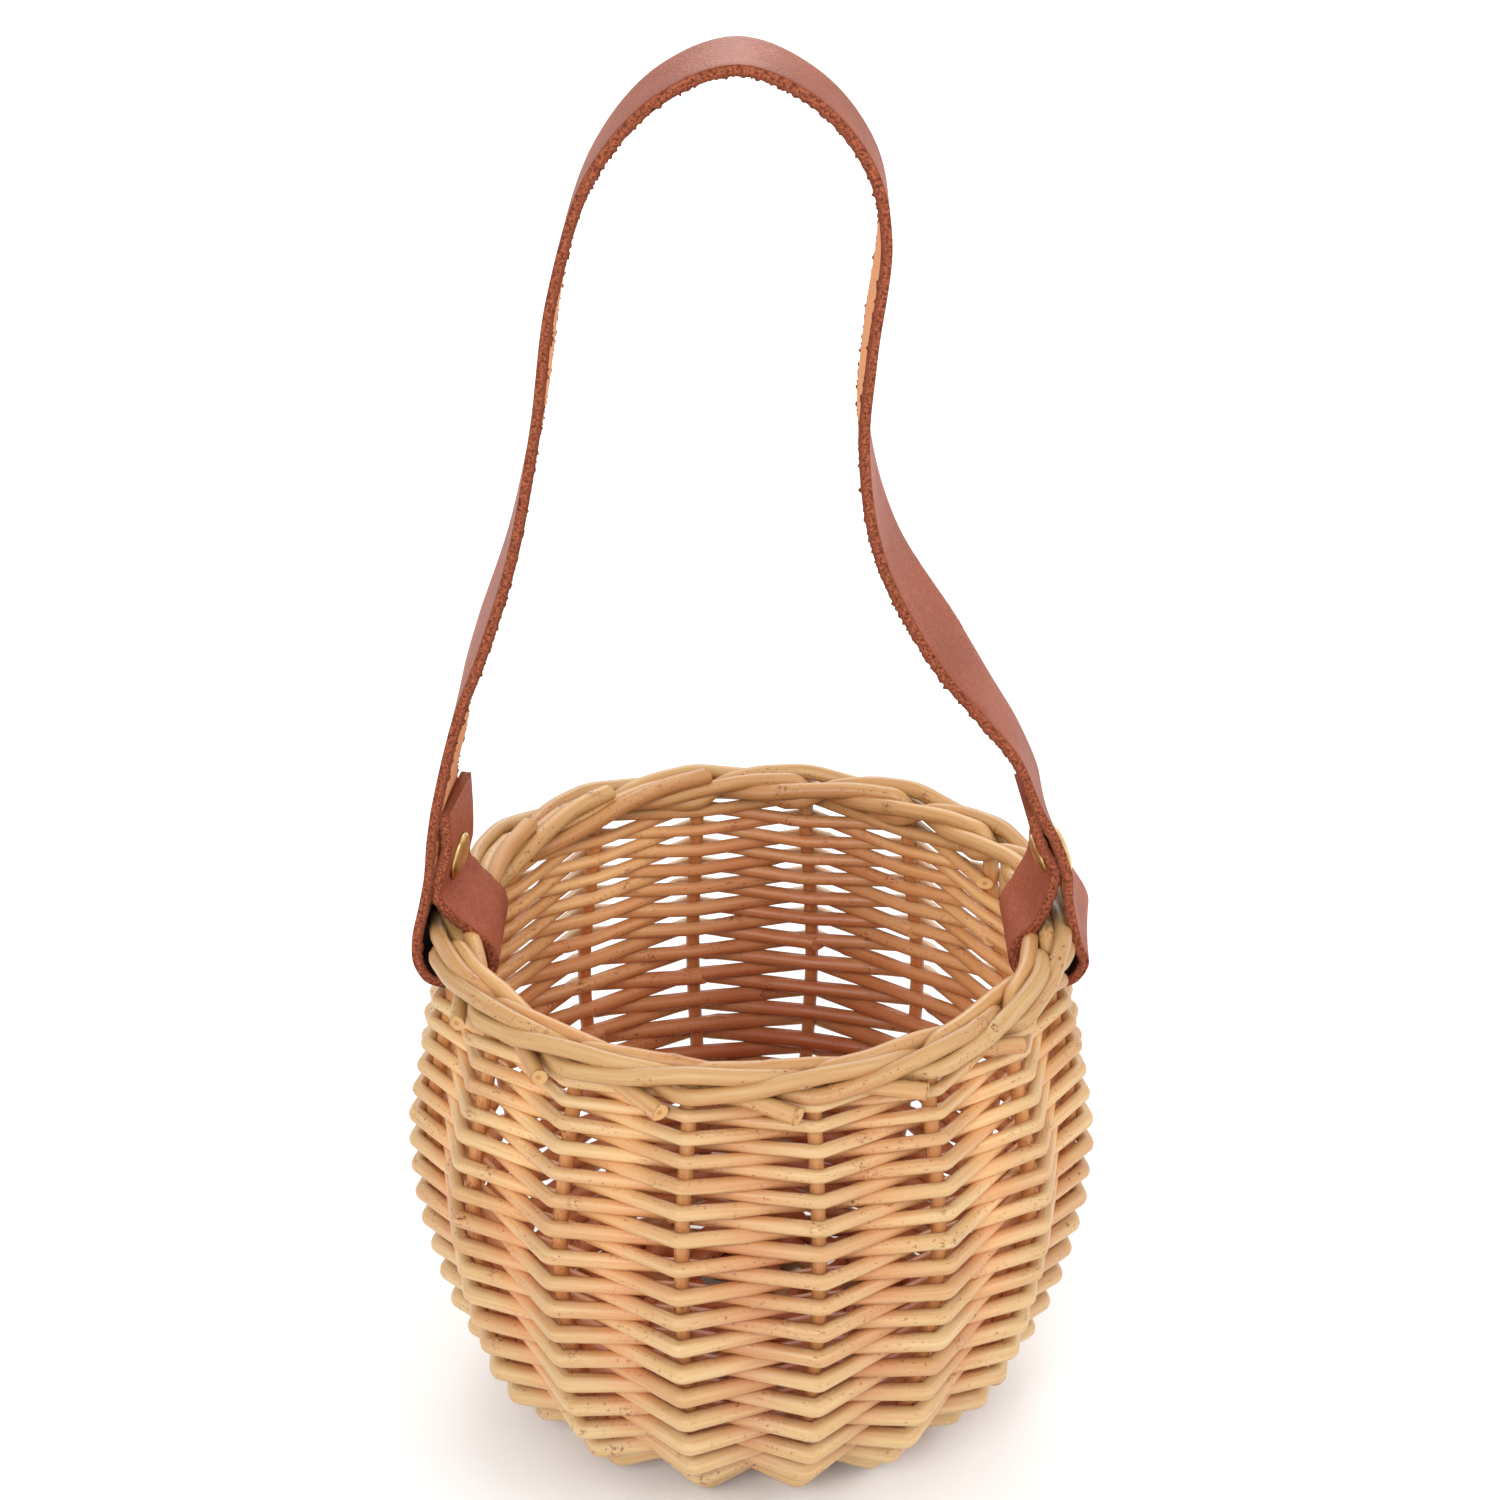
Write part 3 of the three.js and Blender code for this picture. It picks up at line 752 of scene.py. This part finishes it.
# %% [markdown]
# ## Weavers
#
# Two weavers chase each other round the stakes from the base to the border, and grow thinner on the
# way. Rows are counted back from the last stake, so that both end under the border. Real rods press on
# each other, so they are drawn thicker than in CAD.

# %% Where weavers pass
weave_length = line_length - weave_start
first_pitch = weaver_base_diameter + clearance
pitch_change = (weaver_top_diameter - weaver_base_diameter) / weave_length
row_total = math.log(1 + pitch_change * weave_length / first_pitch) / pitch_change
press = 0.55


def passing(end_stake, inside_parity, steps):
    """Where a weaver passes a stake, counted back from its end: length, angle, side and diameter."""
    stake = end_stake - steps
    row = row_total - 2 * steps / stake_count
    length = weave_start + first_pitch / pitch_change * (math.exp(pitch_change * row) - 1)
    diameter = weaver_base_diameter + pitch_change * (length - weave_start)
    here, along = wall_place(length)
    out, inside_reach, _ = swing(here[0], along[1], diameter)
    inside = stake % 2 == inside_parity
    return {"length": length + row_drift(stake, length, inside),
            "angle": (stake + 0.5) * stake_angle + stake_lean(stake, length),
            "side": -inside_reach if inside else out, "diameter": diameter, "inside": inside}


print("weave:", round(row_total, 1), "rows over", round(weave_length, 1), "mm")

# %% [markdown]
# Every weaver is pieced from rods that taper: a new butt is laid in behind a stake, beside the thin tip
# of the last rod, and both are cut short inside. Each rod runs straight between stakes and bends
# sharply at each. Where the last rows leave room under the border, short stretches are packed in.

# %% Weaver rods
weaver_bend = 0.8
butt_reach = 0.9
tip_reach = 0.6
splice_offset = 0.12
loose_up = (0, 0.1)
loose_out = (0.05, 0.07)
weaver_variety = (0.97, 1.03)
weaver_taper = (1.07, 0.95)
weaver_cut = 0.8
last_stretches = (range(2, 8), range(10, 16))


def beyond(points, reach):
    """Point past the first of some points, straight on from the second."""
    run = points[0] - points[1]
    return points[0] + run / np.linalg.norm(run) * reach


def weaver_line(stretch, butt_free, tip_free):
    """Points and diameters of one rod; a free end is drawn on past its stake."""
    points = []
    for i, one in enumerate(stretch):
        up = rng.normal(*loose_up)
        out = rng.normal(*loose_out)
        if butt_free and i == 0:
            up -= splice_offset * one["diameter"]
            out -= splice_offset * one["diameter"]
        if tip_free and i == len(stretch) - 1:
            up += splice_offset * one["diameter"]
        points.append(on_wall(one["length"] + up, one["angle"], one["side"] + out))
    taper = np.linspace(*weaver_taper, len(stretch)) * rng.uniform(*weaver_variety)
    diameters = [(one["diameter"] + press) * t for one, t in zip(stretch, taper)]
    if butt_free:
        points.insert(0, beyond(points, butt_reach))
        diameters.insert(0, diameters[0])
    if tip_free:
        points.append(beyond(points[::-1], tip_reach))
        diameters.append(diameters[-1])
    return bent(points, diameters, weaver_bend)


def weaver_rods(name, end_stake, inside_parity):
    """All rods of one weaver, spliced on the inside; returns their faces."""
    last = int(row_total * stake_count / 2)
    passes = [passing(end_stake, inside_parity, steps) for steps in range(last, -1, -1)]
    splices = [0]
    for i in range(1, rods_per_weaver):
        splice = round(i * last / rods_per_weaver)
        splices.append(splice if passes[splice]["inside"] else splice + 1)
    splices.append(last)
    faces = 0
    for number, (start, end) in enumerate(zip(splices, splices[1:]), 1):
        rods = [weaver_line(passes[start:end + 1], number > 1, number < rods_per_weaver)]
        if number == rods_per_weaver:
            for steps in last_stretches:
                stretch = [passing(end_stake, inside_parity, -step) for step in steps]
                rods.append(weaver_line(stretch, True, True))
        faces += willow_rod(f"{name}{number}", rods, weaver_cut)
    return faces


weaver_faces = (weaver_rods("weaver_a", stake_count - 1, 1)
                + weaver_rods("weaver_b", stake_count // 2 - 1, 0))
print("weavers:", 2 * rods_per_weaver, "rods,", weaver_faces, "faces")

# %% [markdown]
# ## Border
#
# At the top each stake kneels to the right, goes behind the next one, in front of two and behind one
# more, and its cut end slants out under the border, except where the strap holds it in. One list does
# this for every stake: stakes passed, and rods out and up. At the back left three more rods are laid
# in, with blunt butts on top.

# %% Border
border_shares = [(0, 0, 1.2), (0, -0.1, 2.6), (0.1, -0.3, 3.35), (0.5, -0.75, 3.4), (1, -1.4, 3.1),
                 (1.4, -1.3, 2.6), (1.9, 0.8, 2.15), (2.05, 1.15, 2.3), (2.5, 1.05, 2.85),
                 (3, 0.9, 3.65), (3.4, 0.55, 3.5), (3.75, -0.1, 3.1), (4, -1.3, 2.15),
                 (4.2, -0.9, 1.95), (4.45, 0.3, 1.95), (4.85, 2.05, 1.35)]
laid_stakes = (4, 5, 6)
laid_shares = [(-0.1, -1.2, 4.2), (0.35, -1.5, 3.9), (0.8, -1.95, 3.35), (1.2, -2.05, 2.6),
               (1.6, -1.6, 1.9), (1.9, -0.9, 1.6)]
end_zone = (4.25, border_shares[-1][0])
border_pitch = tip_diameter + clearance
border_dip = 0.8
border_settle = 0.1
border_bend = 3
border_loose = 0.1
border_press = 0.75
strap_thickness = 2
strap_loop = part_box("strap_loop_right")
border_base = strap_loop[0].z / mm + strap_thickness


def border_points(angle, shares):
    """Places along the border for one stake, each a hair off its even place."""
    points = []
    for passed, out, up in shares:
        turn = angle + passed * stake_angle
        to_back = math.sin(turn)
        off = rng.normal(0, border_loose, 2) * (passed > 0)
        under_strap = near_strap(turn)
        out -= smooth(passed, *end_zone) * under_strap
        level = border_base + rim_tilt * to_back - border_dip * to_back**2
        level -= border_settle * (1 - under_strap)
        points.append(around(border_radius + out * border_pitch + off[0], turn,
                             level + up * border_pitch + off[1]))
    return points


print("border from", round(border_base, 1), "mm up")

# %% [markdown]
# ## Stakes
#
# Eight rods cross in the base, four over four, and make sixteen stakes. Each rod is drawn as two halves
# from the middle of the base, so that one function serves both, and is grown in one piece.

# %% Stakes
layer_step = stake_diameter + clearance
lanes = (-1.5, -0.5, 0.5, 1.5)
places_up = 16
border_variety = (0.96, 1.06)
laid_thickness = 1.05
border_cut = -0.35


def stake_half(group_angle, lane, layer):
    """From the middle of the base to a stake's end: points and diameters, and the rod laid in, if any."""
    angle = group_angle + lane * stake_angle
    stake = round(angle / stake_angle - 0.5) % stake_count
    turn = np.array([[math.cos(group_angle), -math.sin(group_angle)],
                     [math.sin(group_angle), math.cos(group_angle)]])
    middle = turn @ (2 * layer_step, lane * layer_step)
    points = [np.array([*middle, foot_height + base_dome + layer * layer_step / 2])]
    for length in np.linspace(0, line_length, places_up):
        points.append(on_wall(length, angle + stake_lean(stake, length), 0))
    diameters = [stake_diameter] * len(points)
    laid = None
    thick = (tip_diameter + border_press) * rng.uniform(*border_variety)
    points += border_points(angle, border_shares)
    if stake in laid_stakes:
        laid_points = border_points(angle, laid_shares)
        laid = bent(laid_points, [laid_thickness * thick] * len(laid_points), border_bend)
    diameters += [thick] * (len(points) - len(diameters))
    return points, diameters, laid


def stake_rod(name, group_angle, lane, layer):
    """One rod with a stake at each end; returns its faces."""
    near, near_thick, near_laid = stake_half(group_angle, lane, layer)
    far, far_thick, far_laid = stake_half(group_angle + math.pi, -lane, layer)
    rods = [bent(far[::-1] + near, far_thick[::-1] + near_thick, border_bend)]
    rods += [laid for laid in (near_laid, far_laid) if laid]
    return willow_rod(name, rods, border_cut)


stake_faces = 0
for number, lane in enumerate(lanes, 1):
    stake_faces += stake_rod(f"stake_rod_x{number}", 0, lane, 1)
    stake_faces += stake_rod(f"stake_rod_y{number}", math.pi / 2, lane, -1)
print("stakes:", stake_count, "of", 2 * len(lanes), "rods,", stake_faces, "faces")

# %% [markdown]
# ## Slath binding
#
# A thin rod goes twice round the crossing in the base, over the upper groups of four and under the
# lower ones, and opens the stakes like spokes. It shows from below and from above.

# %% Slath binding
binding_offset = (stake_diameter + binding_diameter) / 2 + clearance
binding_bend = 2.5
binding_points = []
for group in range(4 * binding_turns):
    side = -1 if group % 2 == 0 else 1
    for degrees in (-40, -13, 13, 40):
        turn = (group * 90 + degrees) / 360
        length = binding_pitch * (turn + binding_start)
        binding_points.append(on_wall(length, turn * 2 * math.pi, side * binding_offset))
binding = bent(binding_points, [binding_diameter + press] * len(binding_points), binding_bend)
print("slath binding:", willow_rod("slath_binding", [binding], weaver_cut), "faces")

# %% [markdown]
# ## Leather
#
# The strap is cut from one hide about 2 mm thick. Outside is the grain, red brown with fine pebbles;
# inside is the flesh, a light tan suede, with painted shade that makes it dark in the shut loops; the cut
# edges show rough dark fibres. Each face stores which of the three it is, and a map in metres runs along
# and across the strip, so the pebbles keep their size where it bends.

# %% Leather
leather, nodes, shader = new_material("leather")
strip_place = attribute(nodes, "strip_place", "Vector")
is_flesh = attribute(nodes, "is_flesh")
is_edge = attribute(nodes, "is_edge")
loop_shade_heights = (104 * mm, 114 * mm)
pebbles = nodes.add("ShaderNodeTexVoronoi", {"feature": "SMOOTH_F1"},
                    {"Vector": strip_place, "Scale": 1800.0, "Smoothness": 0.4, "Randomness": 1.0})
creases = nodes.noise(strip_place, 420.0, 3.0)
clouds = nodes.noise(strip_place, 55.0, 3.0)
fuzz = nodes.noise(strip_place, 1800.0, 4.0, 0.7)
fibres = nodes.noise(strip_place, 1700.0, 4.0, 0.7)
grain_dark = colour(142, 72, 48)
grain_light = colour(164, 88, 62)
grain_pit = colour(118, 55, 34)
flesh_dark = colour(198, 128, 84)
flesh_light = colour(226, 166, 118)
# Painted shade colour for the flesh inside the shut loops.
painted_loop_shade = colour(52, 28, 18)
edge_dark = colour(88, 40, 24)
edge_light = colour(164, 90, 62)
grain_tone = nodes.fade(clouds, 0.3, 0.7, grain_dark, grain_light)
grain_tone = nodes.mix_colour(nodes.smooth_step(pebbles, 0.25, 0.75) * 0.45, grain_tone, grain_pit)
flesh_tone = nodes.fade(fuzz, 0.3, 0.7, flesh_dark, flesh_light)
edge_tone = nodes.fade(fibres, 0.35, 0.65, edge_dark, edge_light)
height = nodes.add("ShaderNodeSeparateXYZ", None, {0: object_place(nodes)}, "Z")
# Painted shade: the flesh is darkened nearly to black low down, inside the shut loops.
flesh_tone = nodes.fade(height, *loop_shade_heights, painted_loop_shade, flesh_tone)
hide = nodes.mix_colour(is_flesh, grain_tone, flesh_tone)
hide = nodes.mix_colour(is_edge, hide, edge_tone)
rough_side = (is_flesh + is_edge).math("MINIMUM", 1.0)
relief = (1 - rough_side) * (creases * 0.5 - pebbles * 0.6) + rough_side * fibres * 1.2
bump = nodes.add("ShaderNodeBump", None,
                 {"Strength": 0.8, "Distance": 0.18 * mm, "Height": relief}, "Normal")
feed(nodes, shader, Base_Color=hide, Roughness=0.44 + rough_side * 0.4 + creases * 0.12, Normal=bump,
     IOR=1.46, Specular_IOR_Level=0.2)
print("leather has", len(leather.node_tree.nodes), "nodes")

# %% [markdown]
# ## Strap
#
# One strip goes all the way: from the right flap's end down inside the border, under it, up outside,
# over the arch and down to the left in the same way. A strip of one width needs no cloth simulation:
# it is modelled directly, from a line in the plane of the handle and a turn about the upright at each
# place. The turns make it look limp: the right leg shows its grain where it sags, and the left leg
# shows grain in the middle and flesh near its rivet. The rivets pinch both legs in.

# %% Strap line
hinge_height = frame["joints"][0]["pos_m"][2] / mm
strap_width = (strap_loop[1].y - strap_loop[0].y) / mm
border_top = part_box("stake_rod_x1")[1].z / mm
rivet_rise = 10.4
flap_length = 12.7
knee_drop = 4
waist_rise = 4
rivet_height = border_top + rivet_rise
loop_top = rivet_height + flap_length
loop_knee = border_top - knee_drop
loop_waist = border_top + waist_rise
loop_outer = strap_loop[1].x / mm - strap_thickness / 2
loop_under = strap_loop[0].z / mm + strap_thickness / 2
arch_height = 131.2
handle_lean = math.radians(4.3)
layer_gap = 0.1
leg_sag = 0.08
knee_tight = 1.5
waist_tight = 1.1
flap_short = 0.7
flap_flat = 5
leg_flat = 6
pinch_rise = 1
pinch_reach = 8
arch_shares = [(0.68, 0.064, 6), (0.552, 0.158, 15), (0.38, 0.312, 8), (0.312, 0.473, 1), (0.327, 0.61, 0),
               (0.36, 0.77, 0), (0.318, 0.865, 0), (0.177, 0.954, 0), (-0.032, 1, 0), (-0.24, 0.962, 0),
               (-0.417, 0.861, 2), (-0.53, 0.694, 2), (-0.59, 0.503, 1), (-0.672, 0.312, -1),
               (-0.769, 0.166, -2.5), (-0.83, 0.076, 1.2)]
right_flap = [(54, 5.8, -8), (51.6, 0, -10), (48.8, -4.2, -5), (49, -8.6, 0)]
left_flap = [(56, 5.6, 14), (53.9, 2.2, 15), (51.2, -0.6, 14), (48.8, -3.2, 10), (47.8, -6.2, 4),
             (48.2, -9.6, 0)]


def loop_line(lean, pinch, flap_places, outer_turn, rivet_turn, leg_turn):
    """Places of a riveted end on the right, flap's end to hinge: out, up and turn in degrees."""
    def leg(height):
        even = loop_outer - lean * (height - loop_knee) / (loop_top - loop_knee)
        pinched = pinch * math.exp(-((height - rivet_height - pinch_rise) / pinch_reach) ** 2)
        return even - pinched - leg_sag * max(height - rivet_height, 0)

    def flap(height):
        return leg(height) - strap_thickness - layer_gap

    flap_turn = (leg_turn + rivet_turn) / 2
    top = [(flap(z), z, flap_turn) for z in (loop_top - flap_short, rivet_height + flap_flat)]
    top.append((flap(rivet_height), rivet_height, rivet_turn))
    bulge = [(x, border_top + z, turn) for x, z, turn in flap_places]
    under = [(bulge[-1][0] + 2.5, loop_under + 0.7, 0), (border_radius - 0.5, loop_under, 0),
             (loop_outer - 3.4, loop_under + 0.5, 0), (loop_outer - 1.3, loop_under + 3.6, 0)]
    up = [(loop_outer - knee_tight, loop_knee, outer_turn),
          (leg(loop_waist) - waist_tight, loop_waist, (outer_turn + rivet_turn) / 2)]
    leg_turns = ((rivet_height, rivet_turn), (rivet_height + leg_flat, rivet_turn),
                 (loop_top, leg_turn), (hinge_height, leg_turn))
    up += [(leg(z), z, turn) for z, turn in leg_turns]
    return top + bulge + under + up


right_end = loop_line(9.5, 1.4, right_flap, 9, -9, 1)
left_end = [(-x, z, turn) for x, z, turn in reversed(loop_line(5, 3.2, left_flap, 3, 13, 5.5))]
arch = [(x * loop_outer, hinge_height + z * arch_height, turn) for x, z, turn in arch_shares]
strap_line = smooth_line(right_end + arch + left_end, 16)
strap_lengths = lengths_along(strap_line[:, :2])
print("strap:", round(strap_lengths[-1]), "mm long,", round(strap_width, 1), "mm wide, hinge at",
      round(hinge_height, 1), "mm")

# %% [markdown]
# The strip's section has a grain side, a flesh side and two cut edges with slightly rounded corners.
# A fine wobble roughens the edges, because a cut through fibres is never smooth. Above the hinge the
# strip leans with the handle, eased in over a short blend.

# %% Strap section
strap_step = 0.45
edge_rough = 0.1
fibre_rough = 0.2
face_margin = 0.35
points_across = 10
side_apart = 0.01
run_step = 0.3
lean_ease = 8
grain_side, cut_edge, ragged_edge, flesh_side = range(4)
side_rough = (0, edge_rough, fibre_rough, 0)


def strap_section():
    """Points round the strip's section: across, through and which side they are on."""
    half = strap_width / 2
    thick = strap_thickness / 2
    across = np.linspace(-half + face_margin, half - face_margin, points_across)
    near_edge = [(half - 0.08, thick - 0.1, cut_edge), (half, thick - 0.55, cut_edge),
                 (half, -0.1, cut_edge), (half, -thick + 0.55, cut_edge),
                 (half - 0.05, -thick + 0.05, ragged_edge)]
    far_edge = [(-a, through, side) for a, through, side in reversed(near_edge)]
    grain_points = [(a, thick, grain_side) for a in across]
    flesh_points = [(a, -thick, flesh_side) for a in across[::-1]]
    return grain_points + near_edge + flesh_points + far_edge


def strap_frame(length):
    """Middle of the strip at a length, with its directions across and out of the grain side."""
    x, z, turn = place_on(strap_line, strap_lengths, length)
    dx, dz, _ = run_of(strap_line, strap_lengths, length, run_step)
    run = np.array([dx, 0, dz]) / math.hypot(dx, dz)
    width = np.array([-math.sin(math.radians(turn)), -math.cos(math.radians(turn)), 0])
    width -= run * (run @ width)
    width /= np.linalg.norm(width)
    above = z - hinge_height
    lean = math.tan(handle_lean) * 0.5 * (above + math.hypot(above, lean_ease))
    return np.array([x, -lean, z]), width, np.cross(run, width)


section = strap_section()
print("strap section has", len(section), "points")


# %% Strap mesh
def strap_points(stations, wobble):
    """Points of the strip, ring by ring, and their places on the flat strip in metres."""
    points = []
    places = []
    for i, length in enumerate(stations):
        middle, width, normal = strap_frame(length)
        for k, (a, through, side) in enumerate(section):
            rough = side_rough[side] * wobble[i, k]
            across = a + rough[0] * np.sign(a)
            out = through + rough[1] * (side == ragged_edge)
            points.append(middle + width * across + normal * out)
            on_edge = side in (cut_edge, ragged_edge)
            places.append((length * mm, (a + through * on_edge) * mm, side * side_apart))
    return np.array(points), places


def strap_faces(count):
    """Faces between the rings and at both ends, and the side that each is on."""
    size = len(section)
    faces = []
    sides = []
    for i in range(count - 1):
        for k in range(size):
            a = i * size + k
            b = i * size + (k + 1) % size
            faces.append((a, b, b + size, a + size))
            pair = {section[k][2], section[(k + 1) % size][2]}
            sides.append(pair.pop() if pair in ({grain_side}, {flesh_side}) else cut_edge)
    faces.append(tuple(range(size))[::-1])
    faces.append(tuple(range((count - 1) * size, count * size)))
    return faces, np.array(sides + [cut_edge, cut_edge])


stations = np.linspace(0, strap_lengths[-1], int(strap_lengths[-1] / strap_step))
points, places = strap_points(stations, rng.normal(0, 1, (len(stations), len(section), 2)))
faces, sides = strap_faces(len(stations))
strap_mesh = bpy.data.meshes.new("strap")
strap_mesh.from_pydata([tuple(p * mm) for p in points], [], faces)
mark(strap_mesh, "strip_place", places, "FLOAT_VECTOR")
mark(strap_mesh, "is_flesh", sides == flesh_side, domain="FACE")
mark(strap_mesh, "is_edge", sides == cut_edge, domain="FACE")
strap_mesh.polygons.foreach_set("use_smooth", [True] * len(faces))
strap_mesh.materials.append(leather)
strap = new_object("leather_strap", strap_mesh)
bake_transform(strap)
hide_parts("strap_loop_left", "strap_loop_right", "strap_arch")
print("strap mesh:", len(faces), "faces")

# %% [markdown]
# ## Brass
#
# The rivets are pressed from brass that has dulled with handling. Soft clouds of tarnish change its
# colour, and fine scuffs change how sharply it shines, so that no cap looks like a mirror.

# %% Brass
brass, nodes, shader = new_material("antique_brass")
spot = object_place(nodes)
tarnish = nodes.noise(spot, 500.0, 4.0, 0.6)
scuffs = nodes.noise(spot, 2400.0, 2.0)
bright = colour(228, 198, 136)
dull = colour(190, 152, 90)
brass_tone = nodes.fade(tarnish, 0.35, 0.7, bright, dull)
feed(nodes, shader, Base_Color=brass_tone, Metallic=1.0, Roughness=0.22 + scuffs * 0.2)
print("brass has", len(brass.node_tree.nodes), "nodes")

# %% [markdown]
# ## Rivets
#
# A double-cap rivet has the same low dome on both sides of the leather. A tree needs to make it only
# once: a flattened sphere with a short shank is set on each marked point and turned as it faces.

# %% Rivet tree
tree, entry, rivet_inputs = new_tree("double_cap_rivet", {
    "Cap Radius": "Float", "Cap Height": "Float", "Shank Radius": "Float", "Shank Length": "Float",
    "Finish": "Material"})
dome_crown = 0.8
dome_underside = 0.3
ball = tree.add("ShaderNodeSeparateXYZ", None, {0: tree.add("GeometryNodeInputPosition")})
height = ball["Z"]
top_share = height.math("MAXIMUM", 0.0).math("POWER", dome_crown)
under_share = height.math("MINIMUM", 0.0) * dome_underside
cap_radius = entry["Cap Radius"]
pressed = tree.add("ShaderNodeCombineXYZ", None,
                   {0: ball * cap_radius, 1: ball["Y"] * cap_radius,
                    2: (top_share + under_share) * entry["Cap Height"]})
dome = tree.add("GeometryNodeMeshUVSphere", None, {"Segments": 40, "Rings": 24, "Radius": 1.0})
dome = tree.add("GeometryNodeSetPosition", None, {"Geometry": dome, "Position": pressed})
shank_length = entry["Shank Length"]
shank = tree.add("GeometryNodeMeshCylinder", None,
                 {"Vertices": 24, "Radius": entry["Shank Radius"], "Depth": shank_length})
lowered = tree.add("ShaderNodeCombineXYZ", None, {2: shank_length * -0.5})
shank = tree.add("GeometryNodeTransform", None, {"Geometry": shank, "Translation": lowered})
cap = tree.add("GeometryNodeJoinGeometry", None, {0: [dome, shank]})
cap = tree.add("GeometryNodeSetShadeSmooth", None, {"Geometry": cap, "Shade Smooth": True})
facing = tree.add("FunctionNodeAlignRotationToVector", {"axis": "Z"},
                  {"Vector": named(tree, "facing", "FLOAT_VECTOR")})
spots = tree.add("GeometryNodeMeshToPoints", None, {"Mesh": entry})
caps = tree.add("GeometryNodeInstanceOnPoints", None,
                {"Points": spots, "Instance": cap, "Rotation": facing})
close_tree(tree, caps, entry["Finish"])
print("rivet tree has", len(tree.graph.nodes), "nodes")

# %% Rivets
rivet_points = []
rivet_facings = []
for end in (right_end, left_end):
    outer = max((place for place in end if place[1] == rivet_height), key=lambda place: abs(place[0]))
    nearest = np.argmin(np.linalg.norm(strap_line[:, :2] - outer[:2], axis=1))
    middle, _, normal = strap_frame(strap_lengths[nearest])
    middle = middle - normal * (strap_thickness + layer_gap) / 2
    for side in (1, -1):
        rivet_points.append(tuple((middle + side * normal * (strap_thickness + layer_gap / 2)) * mm))
        rivet_facings.append(side * normal)
rivet_mesh = bpy.data.meshes.new("rivets")
rivet_mesh.from_pydata(rivet_points, [], [])
mark(rivet_mesh, "facing", rivet_facings, "FLOAT_VECTOR")
rivets = new_object("brass_rivets", rivet_mesh)
rivet_sizes = {"Cap Radius": 4.5 * mm, "Cap Height": 1.25 * mm, "Shank Radius": 1.5 * mm,
               "Shank Length": 2 * mm, "Finish": brass}
grow(rivets, tree.graph, rivet_inputs, rivet_sizes, ("facing",))
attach(rivets, "basket")
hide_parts("rivet_left_post", "rivet_left_cap", "rivet_right_post", "rivet_right_cap")
print("rivets:", len(rivets.data.polygons), "faces")
